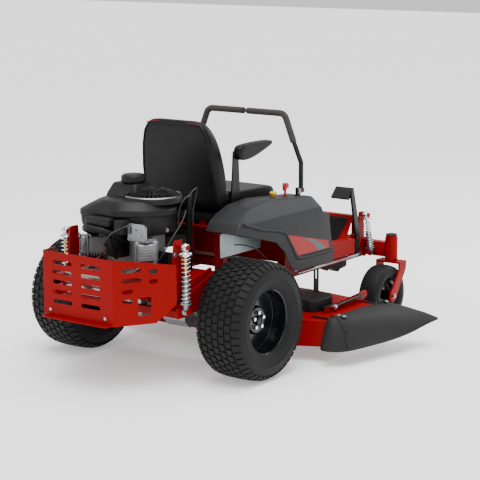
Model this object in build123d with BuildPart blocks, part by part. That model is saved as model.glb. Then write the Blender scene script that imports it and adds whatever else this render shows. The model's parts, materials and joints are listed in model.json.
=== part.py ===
"""Zero turn ride-on mower: a sprung tube frame, a vertical-shaft V-twin behind the seat, a three-blade
side-discharge deck between the axles, two driven rear wheels and two trailing front casters.

Frame: millimetres, +Z up, +Y forwards, +X to the operator's right. The origin is on the ground under the
middle of the rear axle. The right-hand pieces are modelled and the left-hand ones are their mirror images.
"""
import os
from math import hypot

from build123d import *

os.makedirs("parts", exist_ok=True)

# ---- driving dimensions ---------------------------------------------------------------------------------
REAR_TRACK = 1062          # between the middles of the rear tyres
SWIVEL_Y = 1390            # caster swivel axis ahead of the rear axle
FRONT_TRACK = 974          # between the caster swivel axes
CASTER_TRAIL = 98          # caster wheel centre behind its swivel axis

REAR_TYRE_D = 584          # 23 x 10.5 - 12 turf tyre
REAR_TYRE_W = 262
REAR_BEAD_R = 158          # radius of the tyre's bead
REAR_LIP_R = 170           # radius of the rim's outer lip
DISH_DEPTH = 85            # wheel disc inboard of the outer lip
AXLE_R = 17

FRONT_TYRE_D = 330         # 13 x 5 - 6 smooth caster tyre
FRONT_TYRE_W = 122
FRONT_RIM_R = 78

FIT = 0.06                 # radial running clearance of a shaft in its bore
SHEET = 4                  # thickness of folded sheet steel

RAIL_W = 50                # frame rail, a box tube
RAIL_H = 80
RAIL_WALL = 4
RAIL_OUT_X = 320           # outer face of each rail
FRONT_RAIL_Z = 350         # underside of the front rails
RAIL_FRONT_Y = 1357
RAIL_REAR_Y = -460
RAIL_LAP_Y = (60, 160)     # where the rear rails lie on the front rails

GUARD_HALF_W = 213         # half the flat rear face of the engine guard
GUARD_Y = -639
GUARD_Z = (337, 650)
GUARD_SIDE_X = 378         # where the angled side panels end
GUARD_SIDE_Y = -378
HITCH_R = 8.5              # hole in the guard's lower lip

DECK_MID_X = 7             # the deck is offset towards its discharge side
DECK_HALF_W = 683
DECK_Y = (375, 1000)
DECK_Z = (80, 214)         # lower edge and top plate
BLADE_LENGTH = 440
BLADE_PITCH = 435          # spindle to spindle across the deck
SPINDLE_Y = (650, 758)     # outer spindles, middle spindle
CHUTE_Y = (470, 905)
CHUTE_REACH = 295          # how far the discharge chute stands out

LEVER_X = 350              # lap bar base
LEVER_Y = 698
LEVER_TOP_Z = 1205
LEVER_TUBE_R = 12.5
LEVER_PIVOT_Z = 640        # fore-and-aft pivot under the console
LEVER_SWING_Z = 812        # swing-out pivot

SEAT_HALF_W = 250
SEAT_Y = (150, 640)
SEAT_Z = (752, 838)
BACK_TOP_Z = 1212
ARMREST_X = 287

ENGINE_X, ENGINE_Y = 0, -215   # crankshaft axis
ENGINE_BASE_Z = 494

FENDER_OUT_X = 462
FENDER_IN_X = 272
FENDER_WALL = 4

# ---- places worked out from them ------------------------------------------------------------------------
WHEEL_X = REAR_TRACK / 2
AXLE_Z = REAR_TYRE_D / 2
RIM_HALF_W = REAR_TYRE_W / 2 - 22
DISC_X = WHEEL_X + RIM_HALF_W - DISH_DEPTH      # outer face of the wheel disc
SWIVEL_X = FRONT_TRACK / 2
CASTER_Y = SWIVEL_Y - CASTER_TRAIL
CASTER_Z = FRONT_TYRE_D / 2
REAR_RAIL_Z = FRONT_RAIL_Z + RAIL_H             # underside of the rear rails
REAR_RAIL_H = 60
RAIL_IN_X = RAIL_OUT_X - RAIL_W
DECK_X = (DECK_MID_X - DECK_HALF_W, DECK_MID_X + DECK_HALF_W)


def save(part, node):
    """Labels a finished piece and writes it as its own STEP file."""
    part.label = node
    export_step(part, f"parts/{node}.step")


def save_mirrored(part, node):
    """Writes the left-hand twin of a right-hand piece."""
    with BuildPart() as twin:
        mirror(part, about=Plane.YZ)
    save(twin.part, node)


def save_pair(part, node):
    """Writes a right-hand piece and its left-hand twin as two nodes."""
    save(part, f"{node}_right")
    save_mirrored(part, f"{node}_left")


def block(low, high, mode=Mode.ADD):
    """Adds a box between two corners to the part being built."""
    with Locations(((low[0] + high[0]) / 2, (low[1] + high[1]) / 2, (low[2] + high[2]) / 2)):
        Box(high[0] - low[0], high[1] - low[1], high[2] - low[2], mode=mode)


def rod(start, end, radius, mode=Mode.ADD):
    """Adds a round bar between two points to the part being built."""
    axis = Vector(*end) - Vector(*start)
    with BuildSketch(Plane(origin=start, z_dir=axis)) as section:
        Circle(radius)
    extrude(section.sketch, amount=axis.length, mode=mode)


def axial(centre):
    """A plane through a centre for a profile that is revolved about X: along the axle, then outwards."""
    return Plane(origin=centre, x_dir=(1, 0, 0), z_dir=(0, -1, 0))


def turned(points, centre, mode=Mode.ADD):
    """Revolves an outline of (along the axle, radius) points about the X axis through a centre."""
    with BuildSketch(axial(centre)) as section:
        with BuildLine():
            Polyline(*points, close=True)
        make_face()
    revolve(section.sketch, axis=Axis(centre, (1, 0, 0)), mode=mode)


def spun(points, centre, mode=Mode.ADD):
    """Revolves an outline of (radius, height) points about the Z axis through a centre."""
    with BuildSketch(Plane(origin=centre, x_dir=(1, 0, 0), z_dir=(0, -1, 0))) as section:
        with BuildLine():
            Polyline(*points, close=True)
        make_face()
    revolve(section.sketch, axis=Axis(centre, (0, 0, 1)), mode=mode)


def outline(plane, points, amount, mode=Mode.ADD):
    """Extrudes a closed outline, drawn on a plane, by an amount along the plane's normal."""
    with BuildSketch(plane) as section:
        with BuildLine():
            Polyline(*points, close=True)
        make_face()
    extrude(section.sketch, amount=amount, mode=mode)


def side_plane(x):
    """A plane facing +X whose own x is +Y and whose own y is +Z."""
    return Plane(origin=(x, 0, 0), x_dir=(0, 1, 0), z_dir=(1, 0, 0))


def cross_plane(y):
    """A plane across the machine at a place along it: its own x is +X and its own y is +Z."""
    return Plane(origin=(0, y, 0), x_dir=(1, 0, 0), z_dir=(0, -1, 0))


# ==== frame ==============================================================================================
with BuildPart() as frame_rails:
    for side in (-1, 1):
        x_in, x_out = sorted((side * RAIL_IN_X, side * RAIL_OUT_X))
        front_top = FRONT_RAIL_Z + RAIL_H
        block((x_in, RAIL_LAP_Y[0], FRONT_RAIL_Z), (x_out, RAIL_FRONT_Y, front_top))
        block((x_in, RAIL_REAR_Y, REAR_RAIL_Z), (x_out, RAIL_LAP_Y[1], REAR_RAIL_Z + REAR_RAIL_H))
        x_in, x_out = x_in + RAIL_WALL, x_out - RAIL_WALL
        block((x_in, RAIL_LAP_Y[0] - 1, FRONT_RAIL_Z + RAIL_WALL),
              (x_out, RAIL_FRONT_Y + 1, front_top - RAIL_WALL), mode=Mode.SUBTRACT)
        block((x_in, RAIL_REAR_Y - 1, REAR_RAIL_Z + RAIL_WALL),
              (x_out, RAIL_LAP_Y[1] + 1, REAR_RAIL_Z + REAR_RAIL_H - RAIL_WALL), mode=Mode.SUBTRACT)
save(frame_rails.part, "frame_rails")

# Rear suspension: the cradle hangs on a shaft between the front rails and rests on two coil-over shocks.
CRADLE_PIVOT = (200, FRONT_RAIL_Z + 15)         # y, z
CRADLE_SHAFT_R = 14
CRADLE_ARM_X = (212, 256)
CRADLE_Z = (337, 373)
SHOCK_X = 374
SHOCK_Y = -303
SHOCK_TOP = (SHOCK_X, SHOCK_Y, 675)
SHOCK_FOOT = (SHOCK_X, SHOCK_Y, 366)
# Front suspension: each caster arm swings about a pin in the front crossmember.
ARM_PIVOT_X = 150
ARM_Y = (SWIVEL_Y - 25, SWIVEL_Y + 25)
ARM_Z = (360, 440)
ARM_PIN_R = 10
PLATE_GAP = 3                                   # between the arm and the crossmember plates
FRONT_SHOCK_Y = 1331
FRONT_SHOCK_TOP = (358, FRONT_SHOCK_Y, 588)
FRONT_SHOCK_FOOT = (392, FRONT_SHOCK_Y, 383)
FRONT_PLATE_Y = (RAIL_FRONT_Y, ARM_Y[0] - PLATE_GAP)
ENGINE_PLATE_Y = (-455, 30)
# Seat box, control arms and deck hangers, which the frame carries.
SEAT_BOX_Y = (60, 640)
SEAT_BOX_Z = 700
ARM_PLATE_Y = LEVER_Y - 26
LEVER_PIN_R = 8
HANGER_Y = (520, 880)
HANGER_X = (326, 332)
HANGER_PIN_Z = 378
HANGER_PIN_R = 8
DECK_LIFT = 64

with BuildPart() as frame_crossmembers:
    # engine plate on the rear rails
    block((-RAIL_OUT_X, ENGINE_PLATE_Y[0], REAR_RAIL_Z + REAR_RAIL_H),
          (RAIL_OUT_X, ENGINE_PLATE_Y[1], ENGINE_BASE_Z))
    with Locations((ENGINE_X, ENGINE_Y, ENGINE_BASE_Z)):
        Cylinder(45, 40, mode=Mode.SUBTRACT)
    # rear, middle and seat crossmembers
    for low_y, high_y, low_z, high_z in (
        (RAIL_REAR_Y, RAIL_REAR_Y + 45, REAR_RAIL_Z + 6, REAR_RAIL_Z + 54),
        (620, 665, FRONT_RAIL_Z + 10, FRONT_RAIL_Z + 55),
    ):
        block((-RAIL_IN_X, low_y, low_z), (RAIL_IN_X, high_y, high_z))
        block((-RAIL_IN_X - 1, low_y + RAIL_WALL, low_z + RAIL_WALL),
              (RAIL_IN_X + 1, high_y - RAIL_WALL, high_z - RAIL_WALL), mode=Mode.SUBTRACT)
    # two plates across the front, with the caster arms' pins through them
    for low_y, high_y in (FRONT_PLATE_Y, (ARM_Y[1] + PLATE_GAP, ARM_Y[1] + PLATE_GAP + 5)):
        block((-RAIL_OUT_X - 20, low_y, FRONT_RAIL_Z), (RAIL_OUT_X + 20, high_y, FRONT_RAIL_Z + 96))
    block((-40, FRONT_PLATE_Y[1], FRONT_RAIL_Z), (40, ARM_Y[1] + PLATE_GAP, FRONT_RAIL_Z + 96))
    for side in (-1, 1):
        pin = (side * ARM_PIVOT_X, FRONT_PLATE_Y[1], (ARM_Z[0] + ARM_Z[1]) / 2)
        rod(pin, (pin[0], ARM_Y[1] + PLATE_GAP, pin[2]), ARM_PIN_R)
    # shaft that carries the rear cradle, let into both front rails
    rod((-RAIL_IN_X, CRADLE_PIVOT[0], CRADLE_PIVOT[1]),
        (RAIL_IN_X, CRADLE_PIVOT[0], CRADLE_PIVOT[1]), CRADLE_SHAFT_R)
    # posts that carry the seat platform, and the plates with the control arms' pins
    for side in (-1, 1):
        x_in, x_out = sorted((side * RAIL_IN_X, side * RAIL_OUT_X))
        block((x_in, SEAT_BOX_Y[1] - 40, FRONT_RAIL_Z + RAIL_H), (x_out, SEAT_BOX_Y[1] - SHEET, SEAT_BOX_Z))
        block((x_in, SEAT_BOX_Y[0], REAR_RAIL_Z + REAR_RAIL_H), (x_out, SEAT_BOX_Y[0] + 40, SEAT_BOX_Z))
        x_in, x_out = sorted((side * (RAIL_OUT_X - 12), side * RAIL_OUT_X))
        block((x_in, SEAT_BOX_Y[1], FRONT_RAIL_Z + RAIL_H), (x_out, ARM_PLATE_Y + 24, LEVER_PIVOT_Z + 24))
        rod((side * RAIL_OUT_X, ARM_PLATE_Y, LEVER_PIVOT_Z),
            (side * (LEVER_X + 14), ARM_PLATE_Y, LEVER_PIVOT_Z), LEVER_PIN_R)
    # pins outside the rails that the deck's hanger plates slide on
    for side in (-1, 1):
        for y in HANGER_Y:
            rod((side * RAIL_OUT_X, y, HANGER_PIN_Z), (side * (HANGER_X[1] + 6), y, HANGER_PIN_Z), HANGER_PIN_R)
save(frame_crossmembers.part, "frame_crossmembers")

# Brackets outside the rails that hold the upper shock eyes, with a pin for each eye.
TOWER_T = 12
EYE_PIN_R = 7
with BuildPart() as shock_towers:
    for side in (-1, 1):
        face = side * RAIL_OUT_X
        plane = side_plane(min(face, face + side * TOWER_T))
        outline(plane, [(-352, REAR_RAIL_Z), (-262, REAR_RAIL_Z), (-262, 560), (-272, 704), (-322, 704),
                        (-330, 690), (-338, 560)], TOWER_T)
        outline(plane, [(FRONT_SHOCK_Y - 34, FRONT_RAIL_Z + 8), (RAIL_FRONT_Y, FRONT_RAIL_Z + 8),
                        (RAIL_FRONT_Y, 470), (FRONT_SHOCK_Y + 18, 604), (FRONT_SHOCK_Y - 18, 604),
                        (FRONT_SHOCK_Y - 34, 520)], TOWER_T)
        for eye in (SHOCK_TOP, FRONT_SHOCK_TOP):
            rod((side * (RAIL_OUT_X + TOWER_T), eye[1], eye[2]), (side * (eye[0] + 17), eye[1], eye[2]), EYE_PIN_R)
            rod((side * (eye[0] + 13), eye[1], eye[2]), (side * (eye[0] + 19), eye[1], eye[2]), 13)
        # brace from the tower's foot up to the fender
        outline(plane, [(-262, REAR_RAIL_Z), (-150, REAR_RAIL_Z), (-40, 512), (-48, 530), (-262, 480)], TOWER_T)
save(shock_towers.part, "shock_towers")

# ==== rear engine guard ==================================================================================
GUARD_LIP = 38
with BuildPart() as rear_guard:
    low, high = GUARD_Z
    drop = 48                                   # the angled sides are lower at their front ends
    with BuildSketch(Plane.XY.offset(low)):
        with BuildLine():
            path = [(-GUARD_SIDE_X, GUARD_SIDE_Y), (-GUARD_HALF_W, GUARD_Y), (GUARD_HALF_W, GUARD_Y),
                    (GUARD_SIDE_X, GUARD_SIDE_Y)]
            outer = Polyline(*path)
            offset(outer, amount=SHEET, side=Side.RIGHT)
        make_face()
    extrude(amount=high - low)
    # the side panels' upper edges fall forwards and their lower corners are cut away
    outline(side_plane(-GUARD_SIDE_X - 20), [(GUARD_Y + 12, high), (GUARD_SIDE_Y + 20, high - drop),
            (GUARD_SIDE_Y + 20, high + 20), (GUARD_Y + 12, high + 20)], 2 * GUARD_SIDE_X + 40, Mode.SUBTRACT)
    outline(side_plane(-GUARD_SIDE_X - 20), [(GUARD_Y + 170, low - 1), (GUARD_SIDE_Y + 20, low - 1),
            (GUARD_SIDE_Y + 20, low + 100)], 2 * GUARD_SIDE_X + 40, Mode.SUBTRACT)
    # rows of cooling slots in the rear face: two columns
    rows = [high - 48 - 47 * n for n in range(5)]
    with BuildSketch(cross_plane(GUARD_Y + 10)):
        for z in rows:
            with Locations((-95, z), (78, z)):
                SlotOverall(118, 20)
    extrude(amount=20, mode=Mode.SUBTRACT)
    # slots in the angled sides, cut square to each panel
    run = Vector(GUARD_SIDE_X - GUARD_HALF_W, GUARD_SIDE_Y - GUARD_Y, 0)
    for side in (-1, 1):
        along = Vector(side * run.X, run.Y, 0).normalized()
        panel = Plane(origin=(side * GUARD_HALF_W, GUARD_Y, 0), x_dir=along, z_dir=along.cross(Vector(0, 0, 1)))
        with BuildSketch(panel):
            for z in rows[:2]:
                with Locations((88, z - 6)):
                    SlotOverall(96, 20)
                with Locations((196, z - 18)):
                    SlotOverall(44, 20)
            for z in rows[2:4]:
                with Locations((68, z - 10)):
                    SlotOverall(54, 20)
            with Locations((152, low + 84)):
                RectangleRounded(66, 88, 12)
        extrude(amount=30, both=True, mode=Mode.SUBTRACT)
    # lip along the foot of the rear face, with the hitch hole
    block((-GUARD_HALF_W + 12, GUARD_Y - SHEET - GUARD_LIP, low), (GUARD_HALF_W - 12, GUARD_Y, low + SHEET))
    with Locations((0, GUARD_Y - SHEET - GUARD_LIP / 2, low)):
        Cylinder(HITCH_R, 30, mode=Mode.SUBTRACT)
    # arms that carry the guard on the rear crossmember
    for side in (-1, 1):
        x_in, x_out = sorted((side * 140, side * 186))
        block((x_in, GUARD_Y, REAR_RAIL_Z + 10), (x_out, RAIL_REAR_Y, REAR_RAIL_Z + 50))
save(rear_guard.part, "rear_guard")

# ==== operator platform ==================================================================================
FLOOR_Z = FRONT_RAIL_Z + RAIL_H
FLOOR_X = 322
TOE_FOOT = (1165, FLOOR_Z + SHEET)
TOE_TOP = (1252, 588)
with BuildPart() as floor_pan:
    block((-FLOOR_X, SEAT_BOX_Y[1], FLOOR_Z), (FLOOR_X, TOE_FOOT[0], FLOOR_Z + SHEET))
    toe = [(TOE_FOOT[0] - 4, FLOOR_Z), (TOE_FOOT[0] + 2, FLOOR_Z), (TOE_TOP[0] + SHEET, TOE_TOP[1]),
           (TOE_TOP[0] + 34, TOE_TOP[1]), (TOE_TOP[0] + 34, TOE_TOP[1] + SHEET), (TOE_TOP[0], TOE_TOP[1] + SHEET),
           (TOE_FOOT[0] - 4, FLOOR_Z + SHEET)]
    outline(side_plane(-FLOOR_X), toe, 2 * FLOOR_X)
    for side in (-1, 1):
        x_in, x_out = sorted((side * (RAIL_OUT_X - 15), side * RAIL_OUT_X))
        block((x_in, TOE_TOP[0] + 12, FLOOR_Z), (x_out, TOE_TOP[0] + 34, TOE_TOP[1]))
    # notches that clear the control arm plates
    for side in (-1, 1):
        block((side * RAIL_OUT_X - 14, SEAT_BOX_Y[1] - 1, FLOOR_Z - 1),
              (side * RAIL_OUT_X + 14, ARM_PLATE_Y + 28, FLOOR_Z + SHEET + 1), mode=Mode.SUBTRACT)
save(floor_pan.part, "floor_pan")

MAT_T = 6
MAT_X = 262
with BuildPart() as floor_mat:
    block((-MAT_X, SEAT_BOX_Y[1] + 20, FLOOR_Z + SHEET), (MAT_X, TOE_FOOT[0] - 14, FLOOR_Z + SHEET + MAT_T))
    for n in range(18):
        rib_y = SEAT_BOX_Y[1] + 34 + n * 27
        block((-MAT_X + 12, rib_y, FLOOR_Z + SHEET + MAT_T), (MAT_X - 12, rib_y + 9, FLOOR_Z + SHEET + MAT_T + 3))
save(floor_mat.part, "floor_mat")

with BuildPart() as seat_box:
    block((-FLOOR_X, SEAT_BOX_Y[0], SEAT_BOX_Z), (FLOOR_X, SEAT_BOX_Y[1], SEAT_BOX_Z + SHEET))
    block((-RAIL_OUT_X, SEAT_BOX_Y[1] - SHEET, FLOOR_Z), (RAIL_OUT_X, SEAT_BOX_Y[1], SEAT_BOX_Z))
    SEAT_PIN = (612, 724)
    for side in (-1, 1):
        for x in (140, 164):
            x_in, x_out = sorted((side * x, side * (x + 6)))
            block((x_in, SEAT_PIN[0] - 8, SEAT_BOX_Z + SHEET), (x_out, SEAT_PIN[0] + 12, SEAT_PIN[1] + 10))
        rod((side * 140, *SEAT_PIN), (side * 170, *SEAT_PIN), 6)
        block((side * 180 - 20, 84, SEAT_BOX_Z + SHEET), (side * 180 + 20, 114, SEAT_Z[0] - 24))

BOX_Y = (930, 1150)
BOX_Z = (412, 490)
BOX_X = (336, 400)
with BuildPart() as step_brackets:
    block((BOX_X[0], BOX_Y[0], BOX_Z[0]), (BOX_X[1], BOX_Y[1], BOX_Z[1]))
    block((BOX_X[0] + SHEET, BOX_Y[0] - 1, BOX_Z[0] + SHEET),
          (BOX_X[1] - SHEET, BOX_Y[1] - SHEET, BOX_Z[1] - SHEET), mode=Mode.SUBTRACT)
    for y in (BOX_Y[0] + 20, BOX_Y[1] - 60):
        block((RAIL_OUT_X, y, BOX_Z[0]), (BOX_X[0], y + 40, FLOOR_Z - 2))

# ==== fenders ============================================================================================
FENDER_TOP = [(-10, 698), (20, 742), (75, 772), (160, 802), (320, 815), (746, 779), (785, 690), (850, 672),
              (855, 540), (852, 424)]
FENDER_ARCH = [(480, 436), (452, 458), (388, 551), (318, 608), (206, 640)]
FENDER_CREST = ((398, 822), (FENDER_OUT_X, 728))     # the sloping shoulder: x, z
SLOT_Y = (ARM_PLATE_Y - 48, ARM_PLATE_Y + 52)


def fender_body(inset, drop):
    """The filled shape of a fender inset by a wall, its underside dropped so that a cut stays open below."""
    with BuildPart() as body:
        with BuildSketch(side_plane(FENDER_IN_X - (1 if drop else 0))) as profile:
            with BuildLine():
                Polyline(*FENDER_TOP, *[(y, z - drop) for y, z in FENDER_ARCH], close=True)
            make_face()
            if inset:
                offset(amount=-inset, mode=Mode.REPLACE)
        extrude(profile.sketch, amount=FENDER_OUT_X - FENDER_IN_X - inset + (1 if drop else 0))
        (crest_x, crest_z), (side_x, side_z) = FENDER_CREST
        slope = hypot(side_x - crest_x, crest_z - side_z)
        shift = inset * slope / (side_x - crest_x)
        outline(cross_plane(-100), [(FENDER_IN_X - 10, 300), (FENDER_IN_X - 10, crest_z - inset),
                (crest_x - inset / 2, crest_z - inset), (side_x, side_z - shift), (side_x, 300)], -1100,
                Mode.INTERSECT)
    return body.part


with BuildPart() as fender_right:
    add(fender_body(0, 0))
    add(fender_body(FENDER_WALL, 120), mode=Mode.SUBTRACT)
    # the inner edge stops at the seat box, and a slot lets the control arm through
    block((FENDER_IN_X - 1, -60, 300), (RAIL_OUT_X + 4, 900, 700), mode=Mode.SUBTRACT)
    block((RAIL_OUT_X - 60, SEAT_BOX_Y[1] - 70, 690), (RAIL_OUT_X + 3, SEAT_BOX_Y[1] + 2, 712), mode=Mode.SUBTRACT)
    block((LEVER_X - 17, SLOT_Y[0], 740), (LEVER_X + 17, SLOT_Y[1], 830), mode=Mode.SUBTRACT)
    block((LEVER_X - 7, 528, 740), (LEVER_X + 7, 584, 830), mode=Mode.SUBTRACT)
    rod((330, 478, 780), (330, 478, 830), 9, Mode.SUBTRACT)
    # rest on the seat box
    block((FENDER_IN_X, 300, SEAT_BOX_Z + SHEET), (FENDER_IN_X + 14, 560, 800))
save_pair(fender_right.part, "fender")

# ==== seat ===============================================================================================
PAN_X = 240
PAN_Y = (SEAT_BOX_Y[0] + 10, 600)
PAN_Z = (SEAT_Z[0] - 24, SEAT_Z[0])
BRACKET_X = (PAN_X + 4, PAN_X + 12)
ARMREST_PIN = (265, 1032)                       # y, z
with BuildPart() as seat_pan:
    block((-PAN_X, PAN_Y[0], PAN_Z[0]), (PAN_X, PAN_Y[1], PAN_Z[1]))
    block((-PAN_X + SHEET, PAN_Y[0] + SHEET, PAN_Z[0] - 1), (PAN_X - SHEET, PAN_Y[1] - SHEET, PAN_Z[1] - SHEET),
          mode=Mode.SUBTRACT)
    for side in (-1, 1):
        block((side * 180 - 20, 84, PAN_Z[0]), (side * 180 + 20, 114, PAN_Z[1] - SHEET))
        # lug that turns on the seat box's pin
        x_in, x_out = sorted((side * 149, side * 161))
        block((x_in, PAN_Y[1] - SHEET, SEAT_PIN[1] - 10), (x_out, SEAT_PIN[0] + 10, PAN_Z[1] - 2))
        rod((side * 140, *SEAT_PIN), (side * 170, *SEAT_PIN), 6 + FIT, Mode.SUBTRACT)
        # bracket that carries the backrest and the armrest's pin
        x_in, x_out = sorted((side * PAN_X, side * BRACKET_X[1]))
        block((x_in, 225, PAN_Z[0]), (x_out, 305, PAN_Z[1]))
        outline(side_plane(min(side * BRACKET_X[0], side * BRACKET_X[1])),
                [(225, PAN_Z[0]), (305, PAN_Z[0]), (300, 860), (290, 1048), (248, 1056), (234, 860)],
                BRACKET_X[1] - BRACKET_X[0])
        rod((side * BRACKET_X[1], *ARMREST_PIN), (side * (ARMREST_X + 6), *ARMREST_PIN), 8)
save(seat_pan.part, "seat_pan")

with BuildPart() as seat_cushion:
    outline(side_plane(-SEAT_HALF_W + 8), [(206, SEAT_Z[0] + 0.3), (SEAT_Y[1] - 26, SEAT_Z[0] + 0.3),
            (SEAT_Y[1], 790), (SEAT_Y[1] - 8, SEAT_Z[1] - 8), (SEAT_Y[1] - 60, SEAT_Z[1] + 6), (300, 848),
            (222, 866), (202, 840)], 2 * (SEAT_HALF_W - 8))
    outline(cross_plane(0), [(-SEAT_HALF_W + 8, 740), (SEAT_HALF_W - 8, 740), (SEAT_HALF_W - 8, 838),
            (SEAT_HALF_W - 34, 872), (-SEAT_HALF_W + 34, 872), (-SEAT_HALF_W + 8, 838)], -700, Mode.INTERSECT)
save(seat_cushion.part, "seat_cushion")

with BuildPart() as seat_back:
    outline(side_plane(-BRACKET_X[0] + 2), [(200, SEAT_Z[0] + 0.3), (198, 850), (222, 880), (212, 960), (192, 1080),
            (150, 1190), (118, BACK_TOP_Z), (84, 1204), (86, 1130), (118, 960), (140, 820), (160, SEAT_Z[0] + 0.3)],
            2 * (BRACKET_X[0] - 2))
    outline(cross_plane(0), [(-242, 740), (242, 740), (242, 960), (222, 1080), (200, 1160), (160, 1204),
            (130, BACK_TOP_Z + 2), (-130, BACK_TOP_Z + 2), (-160, 1204), (-200, 1160), (-222, 1080), (-242, 960)],
            -700, Mode.INTERSECT)
save(seat_back.part, "seat_back")

with BuildPart() as armrest_right:
    outline(side_plane(ARMREST_X - 26), [(236, 1016), (290, 1010), (400, 1034), (505, 1068), (513, 1080), (500, 1092),
            (380, 1094), (250, 1090), (222, 1078), (218, 1040)], 52)
    rod((ARMREST_X - 27, *ARMREST_PIN), (ARMREST_X + 27, *ARMREST_PIN), 8 + FIT, Mode.SUBTRACT)
save_pair(armrest_right.part, "armrest")

# ==== controls ===========================================================================================
SWING_PIN_R = 6
SWING_Y = (ARM_PLATE_Y + 14, ARM_PLATE_Y + 40)
with BuildPart() as control_arm_right:
    block((LEVER_X - 7, ARM_PLATE_Y - 14, LEVER_PIVOT_Z), (LEVER_X + 7, ARM_PLATE_Y + 14, LEVER_SWING_Z + 16))
    rod((LEVER_X - 8, ARM_PLATE_Y, LEVER_PIVOT_Z), (LEVER_X + 8, ARM_PLATE_Y, LEVER_PIVOT_Z), 18)
    rod((LEVER_X - 9, ARM_PLATE_Y, LEVER_PIVOT_Z), (LEVER_X + 16, ARM_PLATE_Y, LEVER_PIVOT_Z), LEVER_PIN_R + FIT,
        Mode.SUBTRACT)
    rod((LEVER_X, SWING_Y[0], LEVER_SWING_Z), (LEVER_X, SWING_Y[1] + 4, LEVER_SWING_Z), SWING_PIN_R)
save_pair(control_arm_right.part, "control_arm")

LEVER_PLANE_Y = (SWING_Y[0] + SWING_Y[1]) / 2 + 0.5
LEVER_BENDS = [(LEVER_X, LEVER_SWING_Z + 10), (LEVER_X, 955), (303, 1062), (246, LEVER_TOP_Z), (10, LEVER_TOP_Z)]
with BuildPart() as lever_right:
    with BuildLine():
        route = FilletPolyline(*[(x, LEVER_PLANE_Y, z) for x, z in LEVER_BENDS], radius=42)
    with BuildSketch(Plane(origin=route @ 0, z_dir=route % 0)):
        Circle(LEVER_TUBE_R)
    sweep()
    rod((LEVER_X, SWING_Y[0] + 0.5, LEVER_SWING_Z), (LEVER_X, SWING_Y[1] - 0.5, LEVER_SWING_Z), 15)
    rod((LEVER_X, SWING_Y[0], LEVER_SWING_Z), (LEVER_X, SWING_Y[1] + 4, LEVER_SWING_Z), SWING_PIN_R + FIT,
        Mode.SUBTRACT)
save_pair(lever_right.part, "lap_bar")

PEDAL_PIVOT = (1247, 475)
PEDAL_PIN_R = 10
PEDAL_FOOT = (1243, 385)
ROD_X = (366, 378)
with BuildPart() as pedal_bracket:
    add(step_brackets.part)
    block((RAIL_OUT_X + 2, 1222, 380), (RAIL_OUT_X + 8, 1272, PEDAL_PIVOT[1] + 20))
    block((RAIL_OUT_X, 1222, 385), (RAIL_OUT_X + 2, 1272, 425))
    rod((RAIL_OUT_X + 8, *PEDAL_PIVOT), (ROD_X[0] - 4, *PEDAL_PIVOT), PEDAL_PIN_R)
save(pedal_bracket.part, "side_brackets")
with BuildPart() as lift_pedal:
    outline(side_plane(348), [(1226, 500), (1222, 460), (1232, PEDAL_FOOT[1] - 12), (1254, PEDAL_FOOT[1] - 12),
            (1272, 460), (1268, 500), (1214, 700), (1202, 742), (1180, 742), (1176, 722)], 12)
    rod((348, *PEDAL_PIVOT), (ROD_X[0] - 2, *PEDAL_PIVOT), 22)
    rod((340, *PEDAL_PIVOT), (380, *PEDAL_PIVOT), PEDAL_PIN_R + FIT, Mode.SUBTRACT)
    rod((360, *PEDAL_FOOT), (ROD_X[1] + 4, *PEDAL_FOOT), 5)
    outline(side_plane(236), [(1160, 700), (1170, 692), (1218, 738), (1222, 752), (1212, 752)], 112)
save(lift_pedal.part, "lift_pedal")
with BuildPart() as lift_rod:
    block((ROD_X[0] + 1, PEDAL_FOOT[0] - 13, PEDAL_FOOT[1] - 13), (ROD_X[1] - 1, PEDAL_FOOT[0] + 13,
          PEDAL_FOOT[1] + 13))
    rod((ROD_X[0], *PEDAL_FOOT), (ROD_X[1], *PEDAL_FOOT), 5 + FIT, Mode.SUBTRACT)
    rod(((ROD_X[0] + ROD_X[1]) / 2, PEDAL_FOOT[0] - 13, PEDAL_FOOT[1]),
        ((ROD_X[0] + ROD_X[1]) / 2, 640, PEDAL_FOOT[1]), 6)
save(lift_rod.part, "lift_rod")

with BuildPart() as throttle_lever:
    rod((344, 556, 770), (356, 556, 770), 12)
    block((347, 549, 770), (353, 563, 852))
    rod((340, 556, 856), (360, 556, 856), 11)
    rod((340, 556, 770), (360, 556, 770), 5 + FIT, Mode.SUBTRACT)
save(throttle_lever.part, "throttle_lever")
with BuildPart() as blade_switch:
    rod((330, 478, 780), (330, 478, 812), 7)
    spun([(0, 812), (15, 812), (18, 818), (17, 828), (10, 832), (0, 832)], (330, 478, 0))
save(blade_switch.part, "blade_knob")
with BuildPart() as seat_box_complete:
    add(seat_box.part)
    # plate under the fender top that carries the throttle's pivot and guides the knob
    block((RAIL_OUT_X + 6, 440, 740), (RAIL_OUT_X + 50, 600, 744))
    block((RAIL_OUT_X, 440, 700 + SHEET), (RAIL_OUT_X + 6, 600, 744))
    rod((330, 478, 744), (330, 478, 786), 12)
    rod((330, 478, 740), (330, 478, 800), 7 + FIT, Mode.SUBTRACT)
    block((362, 544, 744), (368, 568, 784))
    rod((340, 556, 770), (366, 556, 770), 5)
save(seat_box_complete.part, "seat_box")

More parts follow.
